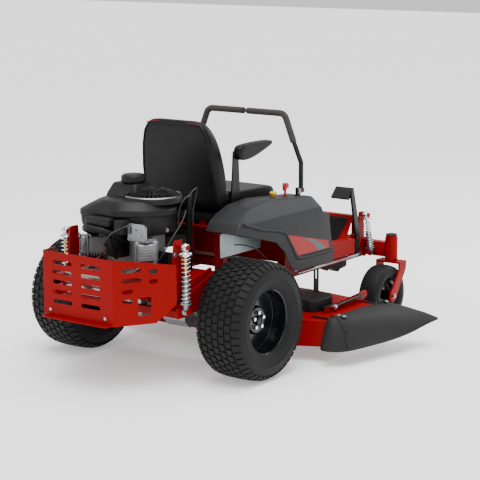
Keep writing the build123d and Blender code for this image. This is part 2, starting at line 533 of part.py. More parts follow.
# ==== rear suspension and drive ==========================================================================
AXLE_TUBE_R = 34
CRADLE_BAR_Y = (SHOCK_Y - 42, SHOCK_Y - 14)
LUG_X = (350, 358)                              # plates that hold the lower shock eyes' pins
with BuildPart() as rear_cradle:
    low, high = CRADLE_Z
    for side in (-1, 1):
        x_in, x_out = sorted((side * CRADLE_ARM_X[0], side * CRADLE_ARM_X[1]))
        rod((x_in, *CRADLE_PIVOT), (x_out, *CRADLE_PIVOT), 24)
        block((x_in, CRADLE_BAR_Y[1], low), (x_out, CRADLE_PIVOT[0] - 8, high))
    block((-LUG_X[1], CRADLE_BAR_Y[0], low), (LUG_X[1], CRADLE_BAR_Y[1], high))
    for side in (-1, 1):
        x_in, x_out = sorted((side * LUG_X[0], side * LUG_X[1]))
        block((x_in, CRADLE_BAR_Y[0], low - 2), (x_out, SHOCK_Y + 22, high + 12))
        rod((side * LUG_X[0], SHOCK_Y, SHOCK_FOOT[2]), (side * (SHOCK_X + 18), SHOCK_Y, SHOCK_FOOT[2]), 8)
        rod((side * (SHOCK_X + 16), SHOCK_Y, SHOCK_FOOT[2]), (side * (SHOCK_X + 24), SHOCK_Y, SHOCK_FOOT[2]), 14)
        # inclined plate beside the wheel, from the cradle arm up towards the seat post
        x_in, x_out = sorted((side * CRADLE_ARM_X[1], side * (RAIL_OUT_X + 18)))
        block((x_in, -200, low), (x_out, -160, high))
        outline(side_plane(min(side * (RAIL_OUT_X + 14), side * (RAIL_OUT_X + 22))),
                [(-236, low), (-120, low), (-46, 470), (-52, 502), (-224, 440)], 8)
    rod((-CRADLE_ARM_X[1] - 1, *CRADLE_PIVOT), (CRADLE_ARM_X[1] + 1, *CRADLE_PIVOT), CRADLE_SHAFT_R + FIT,
        Mode.SUBTRACT)
save(rear_cradle.part, "rear_cradle")

CASE_X = (70, 205)
BELT_LOW_Z = 350                                # transaxle pulleys' belt height
with BuildPart() as transaxles:
    for side in (-1, 1):
        x_in, x_out = sorted((side * CASE_X[0], side * CASE_X[1]))
        with BuildSketch(side_plane(x_in)) as casing:
            with BuildLine():
                Polyline((-96, 250), (-96, 312), (-70, 334), (44, 334), (70, 312), (70, 246), (40, 214), (-62, 214),
                         close=True)
            make_face()
            fillet(casing.vertices(), 14)
        extrude(casing.sketch, amount=x_out - x_in)
        rod((side * CASE_X[1], 0, AXLE_Z), (side * 392, 0, AXLE_Z), AXLE_TUBE_R)
        rod((side * 372, 0, AXLE_Z), (side * 392, 0, AXLE_Z), 46)
        # saddle bolted under the cradle's arm, and the pump's input shaft
        x_in, x_out = sorted((side * (CASE_X[1] - 4), side * (CRADLE_ARM_X[1] - 4)))
        block((x_in, -40, 318), (x_out, 40, CRADLE_Z[0]))
        rod((side * 130, -50, 330), (side * 130, -50, BELT_LOW_Z + 8), 10)
        rod((side * 300, 0, AXLE_Z), (side * 400, 0, AXLE_Z), AXLE_R + FIT, Mode.SUBTRACT)
    for side in (-1, 1):
        spun([(10.3, -10), (62, -10), (48, 0), (62, 10), (10.3, 10)], (side * 130, -50, BELT_LOW_Z + 1))
save(transaxles.part, "transaxles")


def tyre_outline(half_w, outer_r, bead_r, wall):
    """Half of a tyre's C section, bead to crown and back: (along the axle, radius)."""
    depth = outer_r - bead_r
    outside = [(half_w - 28, bead_r + 0.3), (half_w - 27, bead_r + 16), (half_w - 7, bead_r + 0.26 * depth),
               (half_w, bead_r + 0.5 * depth), (half_w - 2, bead_r + 0.74 * depth),
               (half_w - 12, bead_r + 0.92 * depth), (half_w - 34, bead_r + 0.985 * depth), (0, outer_r)]
    inside = [(0, outer_r - wall), (half_w - 34, outer_r - wall - 2), (half_w - wall - 5, bead_r + 0.85 * depth),
              (half_w - wall, bead_r + 0.5 * depth), (half_w - wall - 6, bead_r + 0.3 * depth),
              (half_w - 40, bead_r + 16), (half_w - 40, bead_r + 0.3)]
    return outside, inside


def tyre(half_w, outer_r, bead_r, wall, centre):
    """Revolves a whole tyre about an axle through a centre."""
    outside, inside = tyre_outline(half_w, outer_r, bead_r, wall)
    far_outside = [(-x, r) for x, r in reversed(outside[:-1])]
    far_inside = [(-x, r) for x, r in reversed(inside[1:])]
    turned(outside + far_outside + far_inside + inside[:1] + inside[1:], centre)


HUB_R = 46
with BuildPart() as rear_tyre_right:
    tyre(REAR_TYRE_W / 2, REAR_TYRE_D / 2, REAR_BEAD_R, 15, (WHEEL_X, 0, AXLE_Z))
save_pair(rear_tyre_right.part, "rear_tyre")
with BuildPart() as rear_rim_right:
    outer = RIM_HALF_W
    disc = DISC_X - WHEEL_X
    turned([(outer, REAR_LIP_R), (outer, REAR_LIP_R - 6), (outer - 6, REAR_BEAD_R - 6), (disc, REAR_BEAD_R - 8),
            (disc, 70), (disc + 16, 62), (disc + 16, AXLE_R), (disc + 8, AXLE_R), (disc + 8, 56), (disc - 8, 66),
            (disc - 8, REAR_BEAD_R - 8), (-outer + 6, REAR_BEAD_R - 6), (-outer, REAR_LIP_R - 6),
            (-outer, REAR_LIP_R), (-outer + 5, REAR_LIP_R), (-outer + 5, REAR_BEAD_R), (outer - 5, REAR_BEAD_R),
            (outer - 5, REAR_LIP_R)], (WHEEL_X, 0, AXLE_Z))
    # axle shaft with its flange, a separate solid that the disc is bolted to
    turned([(300, 0), (DISC_X + 30, 0), (DISC_X + 30, AXLE_R - 0.3), (DISC_X + 7.7, AXLE_R - 0.3),
            (DISC_X + 7.7, 54), (DISC_X - 2, 54), (DISC_X - 24, HUB_R - 8), (404, HUB_R - 8), (404, AXLE_R),
            (300, AXLE_R)], (0, 0, AXLE_Z))
    with BuildSketch(Plane(origin=(DISC_X + 16.3, 0, AXLE_Z), z_dir=(1, 0, 0))) as nuts:
        with PolarLocations(38, 5):
            RegularPolygon(10, 6)
    extrude(nuts.sketch, amount=13)
save_pair(rear_rim_right.part, "rear_rim")

# Rear shocks: rod and cylinder, each with an eye, and the spring between two collars.
COIL_WIRE_R = 4.5


def eye(centre, bore_r, direction, mode=Mode.ADD):
    """The round eye at one end of a shock, or the bore through it."""
    start = Vector(*centre) - Vector(*direction) * (12 if mode == Mode.ADD else 40)
    end = Vector(*centre) + Vector(*direction) * (12 if mode == Mode.ADD else 40)
    rod(tuple(start), tuple(end), bore_r if mode == Mode.SUBTRACT else 17, mode)


def along(top, foot, fraction):
    """A point part of the way from a shock's upper eye to its lower one."""
    return tuple(Vector(*top) + (Vector(*foot) - Vector(*top)) * fraction)


def shock_upper(top, foot, rod_r, depth):
    """Upper eye, collar and rod of a shock, the rod reaching a fraction of the way down."""
    rod(along(top, foot, 0.03), along(top, foot, 0.12), 10)
    rod(along(top, foot, 0.1), along(top, foot, 0.12), 27)
    rod(along(top, foot, 0.1), along(top, foot, depth), rod_r)
    eye(top, 0, (1, 0, 0))
    eye(top, EYE_PIN_R + 0.3, (1, 0, 0), Mode.SUBTRACT)


def shock_lower(top, foot, body_r, bore_r, start, pin_r, direction):
    """Cylinder, spring collar and lower eye of a shock, open at its upper end."""
    rod(along(top, foot, start), along(top, foot, 0.97), body_r)
    rod(along(top, foot, 0.86), along(top, foot, 0.885), 27)
    eye(foot, 0, direction)
    rod(along(top, foot, start - 0.1), along(top, foot, 0.84), bore_r, Mode.SUBTRACT)
    eye(foot, pin_r + FIT, direction, Mode.SUBTRACT)


def coil(top, foot, mean_r, turns, low, high):
    """A compression spring about a shock's axis, from a low to a high fraction of it."""
    start, end = Vector(*along(top, foot, high)), Vector(*along(top, foot, low))
    length = (end - start).length
    with BuildLine() as wire:
        Helix(pitch=length / turns, height=length, radius=mean_r, center=start, direction=end - start)
    with BuildSketch(Plane(origin=wire.line @ 0, z_dir=wire.line % 0)) as section:
        Circle(COIL_WIRE_R)
    sweep(section.sketch, path=wire.line)


with BuildPart() as shock_rods:
    for side in (-1, 1):
        for top, foot, rod_r, depth in ((SHOCK_TOP, SHOCK_FOOT, 5.5, 0.56),
                                        (FRONT_SHOCK_TOP, FRONT_SHOCK_FOOT, 5.5, 0.58)):
            shock_upper((side * top[0], *top[1:]), (side * foot[0], *foot[1:]), rod_r, depth)
save(shock_rods.part, "shock_rods")
with BuildPart() as rear_shock_cylinders:
    for side in (-1, 1):
        shock_lower((side * SHOCK_X, *SHOCK_TOP[1:]), (side * SHOCK_X, *SHOCK_FOOT[1:]), 15.5, 10.5, 0.46, 8,
                    (1, 0, 0))
save(rear_shock_cylinders.part, "rear_shock_cylinders")
with BuildPart() as front_shock_cylinder_right:
    shock_lower(FRONT_SHOCK_TOP, FRONT_SHOCK_FOOT, 15.5, 10.5, 0.46, 7, (0, 1, 0))
save_pair(front_shock_cylinder_right.part, "front_shock_cylinder")
with BuildPart() as rear_springs:
    for side in (-1, 1):
        coil((side * SHOCK_X, *SHOCK_TOP[1:]), (side * SHOCK_X, *SHOCK_FOOT[1:]), 22, 8, 0.845, 0.137)
save(rear_springs.part, "rear_springs")
with BuildPart() as front_spring_right:
    coil(FRONT_SHOCK_TOP, FRONT_SHOCK_FOOT, 22, 6, 0.835, 0.145)
save_pair(front_spring_right.part, "front_spring")

# ==== front arms and casters =============================================================================
TUBE_R = 35
SPINDLE_R = 12.5
TUBE_Z = (344, 469)
with BuildPart() as front_arm_right:
    arm_mid_z = (ARM_Z[0] + ARM_Z[1]) / 2
    block((ARM_PIVOT_X, ARM_Y[0], ARM_Z[0]), (SWIVEL_X - TUBE_R + 10, ARM_Y[1], ARM_Z[1]))
    rod((ARM_PIVOT_X, ARM_Y[0], arm_mid_z), (ARM_PIVOT_X, ARM_Y[1], arm_mid_z), (ARM_Z[1] - ARM_Z[0]) / 2)
    rod((SWIVEL_X, SWIVEL_Y, TUBE_Z[0]), (SWIVEL_X, SWIVEL_Y, TUBE_Z[1]), TUBE_R)
    rod((SWIVEL_X, SWIVEL_Y, TUBE_Z[0] - 1), (SWIVEL_X, SWIVEL_Y, TUBE_Z[1] + 1), SPINDLE_R + FIT, Mode.SUBTRACT)
    rod((ARM_PIVOT_X, ARM_Y[0] - 1, arm_mid_z), (ARM_PIVOT_X, ARM_Y[1] + 1, arm_mid_z), ARM_PIN_R + FIT,
        Mode.SUBTRACT)
    foot_x, foot_y, foot_z = FRONT_SHOCK_FOOT
    rod((foot_x, ARM_Y[0], foot_z), (foot_x, foot_y - 20, foot_z), 7)
    rod((foot_x, foot_y - 17, foot_z), (foot_x, foot_y - 24, foot_z), 13)
save_pair(front_arm_right.part, "front_arm")

CROWN_Z = (331, 342)
LEG_X = (66, 76)
with BuildPart() as caster_fork_right:
    block((SWIVEL_X - LEG_X[1], SWIVEL_Y - 36, CROWN_Z[0]), (SWIVEL_X + LEG_X[1], SWIVEL_Y + 36, CROWN_Z[1]))
    rod((SWIVEL_X, SWIVEL_Y, CROWN_Z[1]), (SWIVEL_X, SWIVEL_Y, TUBE_Z[1] + 8), SPINDLE_R)
    rod((SWIVEL_X, SWIVEL_Y, TUBE_Z[1] + 0.5), (SWIVEL_X, SWIVEL_Y, TUBE_Z[1] + 12), 31)
    for side in (-1, 1):
        inner = SWIVEL_X + (LEG_X[0] if side > 0 else -LEG_X[1])
        outline(side_plane(inner), [(SWIVEL_Y - 36, CROWN_Z[1]), (SWIVEL_Y + 36, CROWN_Z[1]),
                (SWIVEL_Y + 34, CROWN_Z[0] - 30), (CASTER_Y + 30, CASTER_Z - 18), (CASTER_Y + 8, CASTER_Z - 34),
                (CASTER_Y - 18, CASTER_Z - 30), (CASTER_Y - 32, CASTER_Z - 6), (CASTER_Y - 26, CASTER_Z + 20),
                (SWIVEL_Y - 36, CROWN_Z[0] - 34)], LEG_X[1] - LEG_X[0])
    rod((SWIVEL_X - LEG_X[1] - 10, CASTER_Y, CASTER_Z), (SWIVEL_X + LEG_X[1] + 10, CASTER_Y, CASTER_Z), 10)
save_pair(caster_fork_right.part, "caster_fork")
with BuildPart() as caster_tyre_right:
    tyre(FRONT_TYRE_W / 2, FRONT_TYRE_D / 2, FRONT_RIM_R, 11, (SWIVEL_X, CASTER_Y, CASTER_Z))
save_pair(caster_tyre_right.part, "caster_tyre")
with BuildPart() as caster_rim_right:
    width = FRONT_TYRE_W / 2 - 22
    turned([(width, FRONT_RIM_R + 9), (width - 4, FRONT_RIM_R + 9), (width - 4, FRONT_RIM_R),
            (-width + 4, FRONT_RIM_R), (-width + 4, FRONT_RIM_R + 9), (-width, FRONT_RIM_R + 9),
            (-width, FRONT_RIM_R - 6), (-6, FRONT_RIM_R - 10), (-6, 26), (-LEG_X[0] + 1, 22), (-LEG_X[0] + 1, 10 + FIT),
            (LEG_X[0] - 1, 10 + FIT), (LEG_X[0] - 1, 22), (6, 26), (6, FRONT_RIM_R - 10), (width, FRONT_RIM_R - 6)],
           (SWIVEL_X, CASTER_Y, CASTER_Z))
save_pair(caster_rim_right.part, "caster_rim")

# ==== cutting deck =======================================================================================
DECK_OUTLINE = [(DECK_X[0], 520), (DECK_X[0] + 60, 410), (DECK_X[0] + 150, DECK_Y[0]), (DECK_X[1] - 150, DECK_Y[0]),
                (DECK_X[1] - 8, 440), (DECK_X[1], CHUTE_Y[0] - 8), (DECK_X[1], CHUTE_Y[1] + 10),
                (DECK_X[1] - 110, 950), (230, DECK_Y[1]), (-216, DECK_Y[1]), (DECK_X[0] + 110, 950),
                (DECK_X[0], 850)]
SPINDLES = [(DECK_MID_X - BLADE_PITCH, SPINDLE_Y[0]), (DECK_MID_X, SPINDLE_Y[1]),
            (DECK_MID_X + BLADE_PITCH, SPINDLE_Y[0])]
SPINDLE_SHAFT_R = 12.5
BLADE_Z = 96
HINGE_PIN = (DECK_X[1] + 8, DECK_Z[1] + 12)     # chute hinge: x, z
HINGE_PIN_R = 6
with BuildPart() as deck_shell:
    low, high = DECK_Z
    outline(Plane.XY.offset(low), DECK_OUTLINE, high - low)
    with BuildSketch(Plane.XY.offset(low - 1)) as chamber:
        with BuildLine():
            Polyline(*DECK_OUTLINE, close=True)
        make_face()
        offset(amount=-SHEET, mode=Mode.REPLACE)
    extrude(chamber.sketch, amount=high - low - SHEET + 1, mode=Mode.SUBTRACT)
    block((DECK_X[1] - 20, CHUTE_Y[0], low - 1), (DECK_X[1] + 10, CHUTE_Y[1], high - 10), mode=Mode.SUBTRACT)
    for x, y in SPINDLES:
        rod((x, y, low + 62), (x, y, high + 10), 30)
        rod((x, y, high), (x, y, high + 6), 62)
        rod((x, y, low), (x, y, high + 12), SPINDLE_SHAFT_R + FIT, Mode.SUBTRACT)
save(deck_shell.part, "deck_shell")

with BuildPart() as deck_fittings:
    low = DECK_Z[1]
    for side in (-1, 1):
        x_in, x_out = sorted((side * HANGER_X[0], side * HANGER_X[1]))
        for y in HANGER_Y:
            block((x_in, y - 22, low), (x_out, y + 22, HANGER_PIN_Z + 28))
            slot_low, slot_high = HANGER_PIN_Z - DECK_LIFT, HANGER_PIN_Z
            block((x_in - 1, y - HANGER_PIN_R - 0.5, slot_low), (x_out + 1, y + HANGER_PIN_R + 0.5, slot_high),
                  mode=Mode.SUBTRACT)
            for z in (slot_low, slot_high):
                rod((x_in - 1, y, z), (x_out + 1, y, z), HANGER_PIN_R + 0.5, Mode.SUBTRACT)
    # reinforcing tubes along the deck's sides
    block((552, 590, low), (577, 935, low + 25))
    block((-577, 590, low), (-552, 935, low + 25))
    # straps and pins of the chute's hinge
    for y, y_pin in ((CHUTE_Y[0] - 4, 1), (CHUTE_Y[1] - 8, -1)):
        block((DECK_X[1] - 118, y, low), (DECK_X[1] - 3, y + 22, low + 5))
        block((DECK_X[1] - 3, y, low + 1), (HINGE_PIN[0] + 9, y + 22, HINGE_PIN[1] + 9))
        end = y + 22 if y_pin > 0 else y
        rod((HINGE_PIN[0], end, HINGE_PIN[1]), (HINGE_PIN[0], end + y_pin * 22, HINGE_PIN[1]), HINGE_PIN_R)
save(deck_fittings.part, "deck_fittings")

with BuildPart() as belt_covers:
    low, high = DECK_Z[1], DECK_Z[1] + 60
    for x, y in (SPINDLES[0], SPINDLES[2]):
        corner = [(x - 102, y - 90), (x - 70, y - 106), (x + 70, y - 106), (x + 100, y - 80), (x + 100, y + 60),
                  (x + 60, y + 106), (x - 60, y + 106), (x - 102, y + 70)]
        outline(Plane.XY.offset(low), corner, high - low)
        inner = [(x + (px - x) * 0.96, y + (py - y) * 0.96) for px, py in corner]
        outline(Plane.XY.offset(low - 1), inner, high - low - 2, Mode.SUBTRACT)
        toward = 1 if x < 0 else -1
        block((x + toward * 60 - 45, y - 120, low + 12), (x + toward * 60 + 45, y - 60, high - 12),
              mode=Mode.SUBTRACT)
save(belt_covers.part, "belt_covers")

for node, (x, y) in zip(("left", "centre", "right"), SPINDLES):
    with BuildPart() as spindle:
        rod((x, y, BLADE_Z - 14), (x, y, DECK_Z[1] + 44), SPINDLE_SHAFT_R)
        rod((x, y, BLADE_Z + 6), (x, y, BLADE_Z + 34), 26)
        rod((x, y, BLADE_Z - 12), (x, y, BLADE_Z), 20)
        block((x - BLADE_LENGTH / 2, y - 30, BLADE_Z), (x + BLADE_LENGTH / 2, y + 30, BLADE_Z + 6))
        for end in (-1, 1):
            # the trailing edges turn up at the tips
            x_in, x_out = sorted((x + end * BLADE_LENGTH / 2, x + end * (BLADE_LENGTH / 2 - 78)))
            y_in, y_out = sorted((y - end * 30, y - end * 22))
            block((x_in, y_in, BLADE_Z), (x_out, y_out, BLADE_Z + 26))
        spun([(SPINDLE_SHAFT_R, 22), (66, 22), (56, 31), (66, 40), (SPINDLE_SHAFT_R, 40)], (x, y, DECK_Z[1]))
    save(spindle.part, f"blade_{node}")

CHUTE_PLAN = [(DECK_X[1] + 12, 425), (DECK_X[1] + 137, 448), (DECK_X[1] + CHUTE_REACH, 1040),
              (DECK_X[1] + CHUTE_REACH - 12, 1052), (DECK_X[1] + 60, 962), (DECK_X[1] + 12, 935)]
CHUTE_ROOF = [(0, 236), (60, 232), (150, 208), (230, 180), (300, 156)]


def chute_body(inset):
    """The filled shape of the discharge chute inset by a wall."""
    with BuildPart() as body:
        with BuildSketch(Plane.XY.offset(40)) as plan:
            with BuildLine():
                Polyline(*CHUTE_PLAN, close=True)
            make_face()
            if inset:
                offset(amount=-inset, mode=Mode.REPLACE)
        extrude(plan.sketch, amount=240)
        roof = [(DECK_X[1] + x, z - inset) for x, z in CHUTE_ROOF]
        outline(cross_plane(300), [*roof, (DECK_X[1] + 300, 60), (DECK_X[1], 60)], -900, Mode.INTERSECT)
    return body.part


with BuildPart() as chute:
    add(chute_body(0))
    add(chute_body(5), mode=Mode.SUBTRACT)
    # open towards the deck, and its lower edge rises forwards
    block((DECK_X[1] + 5, 436, 40), (DECK_X[1] + 30, 925, 222), mode=Mode.SUBTRACT)
    outline(side_plane(DECK_X[1]), [(400, 30), (400, 82), (560, 84), (1100, 138), (1100, 30)], 400, Mode.SUBTRACT)
    # room for the hinge straps, and knuckles on the pins
    for y in (CHUTE_Y[0] - 5, CHUTE_Y[1] - 34):
        block((DECK_X[1] - 10, y, 200), (DECK_X[1] + 24, y + 49, 260), mode=Mode.SUBTRACT)
    for y in (CHUTE_Y[0] + 19.3, CHUTE_Y[1] - 27.3):
        rod((HINGE_PIN[0], y, HINGE_PIN[1]), (HINGE_PIN[0], y + 18, HINGE_PIN[1]), 11)
        block((HINGE_PIN[0], y, HINGE_PIN[1] - 4), (DECK_X[1] + 40, y + 18, HINGE_PIN[1] + 8))
        rod((HINGE_PIN[0], y - 1, HINGE_PIN[1]), (HINGE_PIN[0], y + 19, HINGE_PIN[1]), HINGE_PIN_R + FIT,
            Mode.SUBTRACT)
save(chute.part, "discharge_chute")

# ==== engine =============================================================================================
CASE_TOP_Z = 700
CRANK_R = 14
HEAD_Z = (588, 692)
with BuildPart() as crankcase:
    block((ENGINE_X - 112, ENGINE_Y - 105, ENGINE_BASE_Z), (ENGINE_X + 112, ENGINE_Y + 105, CASE_TOP_Z))
    fillet(crankcase.edges().filter_by(Axis.Z), 26)
    block((ENGINE_X - 128, ENGINE_Y - 120, ENGINE_BASE_Z), (ENGINE_X + 128, ENGINE_Y + 120, ENGINE_BASE_Z + 12))
    rod((ENGINE_X, ENGINE_Y, ENGINE_BASE_Z - 6), (ENGINE_X, ENGINE_Y, ENGINE_BASE_Z), 40)
    rod((ENGINE_X, ENGINE_Y, ENGINE_BASE_Z - 10), (ENGINE_X, ENGINE_Y, CASE_TOP_Z + 1), CRANK_R + FIT, Mode.SUBTRACT)
save(crankcase.part, "crankcase")

BARREL_AXIS = (0.77, -0.64)
BARREL_START, BARREL_END = 128, 232


def barrel_plane(side, distance):
    """A plane square to one cylinder's axis, at a distance from the crankshaft, with its own y upwards."""
    across, back = side * BARREL_AXIS[0], BARREL_AXIS[1]
    origin = (ENGINE_X + across * distance, ENGINE_Y + 10 + back * distance, (HEAD_Z[0] + HEAD_Z[1]) / 2)
    return Plane(origin=origin, x_dir=(back, -across, 0), z_dir=(across, back, 0))


def barrel_slab(side, distance, thickness, width, height, mode=Mode.ADD):
    """A rectangular slab across one cylinder's axis."""
    with BuildSketch(barrel_plane(side, distance)) as section:
        RectangleRounded(width, height, 10)
    extrude(section.sketch, amount=thickness, mode=mode)


with BuildPart() as cylinders:
    for side in (-1, 1):
        barrel_slab(side, BARREL_START, BARREL_END - BARREL_START, 84, 84)
        for n in range(8):
            barrel_slab(side, BARREL_START + 6 + n * 12, 4, 116, 104)
    block((ENGINE_X - 112, ENGINE_Y - 105, HEAD_Z[0] - 20), (ENGINE_X + 112, ENGINE_Y + 105, CASE_TOP_Z),
          mode=Mode.SUBTRACT)
save(cylinders.part, "cylinders")
with BuildPart() as valve_covers:
    for side in (-1, 1):
        barrel_slab(side, BARREL_END, 12, 112, 104)
        barrel_slab(side, BARREL_END + 12, 26, 92, 84)
save(valve_covers.part, "valve_covers")

BLOWER_R = 182
with BuildPart() as blower_housing:
    base = CASE_TOP_Z
    spun([(92, base), (BLOWER_R, base), (BLOWER_R, base + 148), (150, base + 184), (96, base + 202),
          (96, base + 198), (148, base + 180), (BLOWER_R - 4, base + 146), (BLOWER_R - 4, base + 4), (92, base + 4)],
         (ENGINE_X, ENGINE_Y, 0))
save(blower_housing.part, "blower_housing")

KNOB_AT = (25, -262)
with BuildPart() as air_cleaner:
    outline(side_plane(ENGINE_X - 112), [(-446, 772), (-397.6, 772), (-397.6, 908), (-150, 908), (-150, 926),
            (-186, 946), (-400, 946), (-446, 896)], 224)
    spun([(0, 946), (54, 946), (57, 952), (57, 972), (48, 982), (0, 984)], (*KNOB_AT, 0))
save(air_cleaner.part, "air_cleaner")

MUFFLER = (-540, 502)                           # y, z
with BuildPart() as muffler:
    rod((-132, *MUFFLER), (132, *MUFFLER), 62)
    block((-24, MUFFLER[0] + 40, 446), (24, RAIL_REAR_Y, 476))
    for side in (-1, 1):
        rod((side * 100, *MUFFLER), (side * 134, -300, 572), 15)
save(muffler.part, "muffler")

with BuildPart() as engine_fittings:
    # starter motor, oil filter and intake
    rod((ENGINE_X - 142, ENGINE_Y + 60, 506), (ENGINE_X - 142, ENGINE_Y + 60, 640), 30)
    rod((ENGINE_X + 112, ENGINE_Y + 40, 570), (ENGINE_X + 196, ENGINE_Y + 40, 570), 38)
    block((-46, ENGINE_Y - 170, 600), (46, ENGINE_Y - 105, CASE_TOP_Z))
    # post with the clamps of the leads
    block((192, -62, ENGINE_BASE_Z), (204, -30, 880))
    block((120, -56, 690), (192, -36, 694))
save(engine_fittings.part, "engine_fittings")

PULLEY_Z = (332, 404)                           # blade clutch, drive pulley
with BuildPart() as crankshaft:
    rod((ENGINE_X, ENGINE_Y, PULLEY_Z[0] - 22), (ENGINE_X, ENGINE_Y, CASE_TOP_Z + 190), CRANK_R)
    for z, radius in zip(PULLEY_Z, (62, 56)):
        spun([(CRANK_R - 1, z - 11), (radius, z - 11), (radius - 12, z), (radius, z + 11), (CRANK_R - 1, z + 11)],
             (ENGINE_X, ENGINE_Y, 0))
    rod((ENGINE_X, ENGINE_Y, PULLEY_Z[0] + 14), (ENGINE_X, ENGINE_Y, PULLEY_Z[0] + 44), 50)
    # fan and the screen on top of it
    spun([(CRANK_R - 1, CASE_TOP_Z + 110), (140, CASE_TOP_Z + 110), (140, CASE_TOP_Z + 116),
          (CRANK_R - 1, CASE_TOP_Z + 116)], (ENGINE_X, ENGINE_Y, 0))
    spun([(CRANK_R - 1, CASE_TOP_Z + 184), (90, CASE_TOP_Z + 184), (90, CASE_TOP_Z + 188),
          (CRANK_R - 1, CASE_TOP_Z + 188)], (ENGINE_X, ENGINE_Y, 0))
save(crankshaft.part, "crankshaft")

with BuildPart() as fuel_tank:
    outline(side_plane(-424), [(60, 650), (470, 650), (470, 752), (170, 752), (92, 740), (60, 722)],
            424 - FLOOR_X)
save(fuel_tank.part, "fuel_tank")
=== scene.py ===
"""Looks of a zero turn mower, built around its CAD frame.

Laid out as an add-on: property groups hold the sizes and colours, one operator makes each piece or group of
like pieces, and a panel lists them. Units are metres in the frame of the CAD model: +X to the operator's
right, +Y forwards, +Z up.
"""
import json
import math
from math import cos, pi, radians, sin

import bmesh
import bpy
from bpy.props import FloatProperty, FloatVectorProperty, PointerProperty
from mathutils import Matrix, Vector


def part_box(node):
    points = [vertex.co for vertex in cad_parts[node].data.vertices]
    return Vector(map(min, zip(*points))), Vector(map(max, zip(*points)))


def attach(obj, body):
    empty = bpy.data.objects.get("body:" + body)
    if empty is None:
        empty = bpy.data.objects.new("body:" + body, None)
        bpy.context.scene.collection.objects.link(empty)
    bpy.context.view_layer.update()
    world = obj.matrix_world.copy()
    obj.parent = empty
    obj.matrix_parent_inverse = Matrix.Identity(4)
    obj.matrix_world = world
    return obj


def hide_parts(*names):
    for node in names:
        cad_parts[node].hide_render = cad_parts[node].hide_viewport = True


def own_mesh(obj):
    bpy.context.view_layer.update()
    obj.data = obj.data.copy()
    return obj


bl_info = {
    "name": "Zero turn mower",
    "version": (1, 0, 0),
    "blender": (4, 5, 0),
    "location": "3D View > Sidebar > Mower",
    "description": "Builds the finished pieces of a zero turn mower around its frame",
    "category": "Object",
}

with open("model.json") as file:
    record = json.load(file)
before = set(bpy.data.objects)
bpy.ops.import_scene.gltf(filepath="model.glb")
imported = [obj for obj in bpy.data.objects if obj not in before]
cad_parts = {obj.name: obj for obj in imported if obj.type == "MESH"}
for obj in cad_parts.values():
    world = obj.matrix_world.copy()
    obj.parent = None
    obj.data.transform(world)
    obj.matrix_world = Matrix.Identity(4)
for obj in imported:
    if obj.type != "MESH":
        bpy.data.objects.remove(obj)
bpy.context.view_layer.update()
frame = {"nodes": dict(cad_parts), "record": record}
SIDES = (("left", -1), ("right", 1))
WHEEL_LOW, WHEEL_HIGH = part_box("rear_tyre_right")
WHEEL_CENTRE = (WHEEL_LOW + WHEEL_HIGH) / 2
WHEEL_RADIUS = (WHEEL_HIGH.z - WHEEL_LOW.z) / 2
CASTER_LOW, CASTER_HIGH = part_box("caster_tyre_right")
CASTER_CENTRE = (CASTER_LOW + CASTER_HIGH) / 2


# ---- sizes and colours ----------------------------------------------------------------------------------
def length_property(name, description, default):
    return FloatProperty(name=name, description=description, default=default, unit="LENGTH")


def colour_property(name, description, default):
    return FloatVectorProperty(name=name, description=description, default=default, subtype="COLOR", size=3,
                               min=0.0, max=1.0)


class MowerSizes(bpy.types.PropertyGroup):
    """Sizes that change the finish of the pieces and not the machine's own dimensions."""
    tread_depth: length_property("Tread depth", "Height of the turf tyre's blocks", 0.008)
    block_gap: length_property("Tread gap", "Groove between the turf tyre's blocks", 0.007)
    grip_radius: length_property("Grip radius", "Radius of the foam grips", 0.0168)
    cable_radius: length_property("Cable radius", "Radius of the control cables", 0.003)


class MowerColours(bpy.types.PropertyGroup):
    """Base colours of the finishes."""
    paint: colour_property("Paint", "Gloss coat of the frame, deck and guard", (0.21, 0.0, 0.0008))
    fender: colour_property("Fender", "Moulded fender plastic", (0.017, 0.0175, 0.019))
    shroud: colour_property("Shroud", "Engine covers", (0.008, 0.008, 0.0085))
    vinyl: colour_property("Vinyl", "Seat covers", (0.0018, 0.0018, 0.002))
    rubber: colour_property("Rubber", "Tyres and mats", (0.0055, 0.0055, 0.006))
    foam: colour_property("Foam", "Lever grips", (0.045, 0.039, 0.037))


# ---- finishes -------------------------------------------------------------------------------------------
def group_tree(name, inputs, outputs):
    """A new shader node group with named sockets, and its input and output nodes."""
    tree = bpy.data.node_groups.new(name, "ShaderNodeTree")
    for label, kind, default in inputs:
        socket = tree.interface.new_socket(name=label, in_out="INPUT", socket_type=kind)
        socket.default_value = default
    for label, kind in outputs:
        tree.interface.new_socket(name=label, in_out="OUTPUT", socket_type=kind)
    return tree, tree.nodes.new("NodeGroupInput"), tree.nodes.new("NodeGroupOutput")


def maths(tree, operation, *values):
    """The result of a Math node; each of its values is a number or the socket that it comes from."""
    node = tree.nodes.new("ShaderNodeMath")
    node.operation = operation
    for socket, value in zip(node.inputs, values):
        if isinstance(value, float):
            socket.default_value = value
        else:
            tree.links.new(value, socket)
    return node.outputs[0]


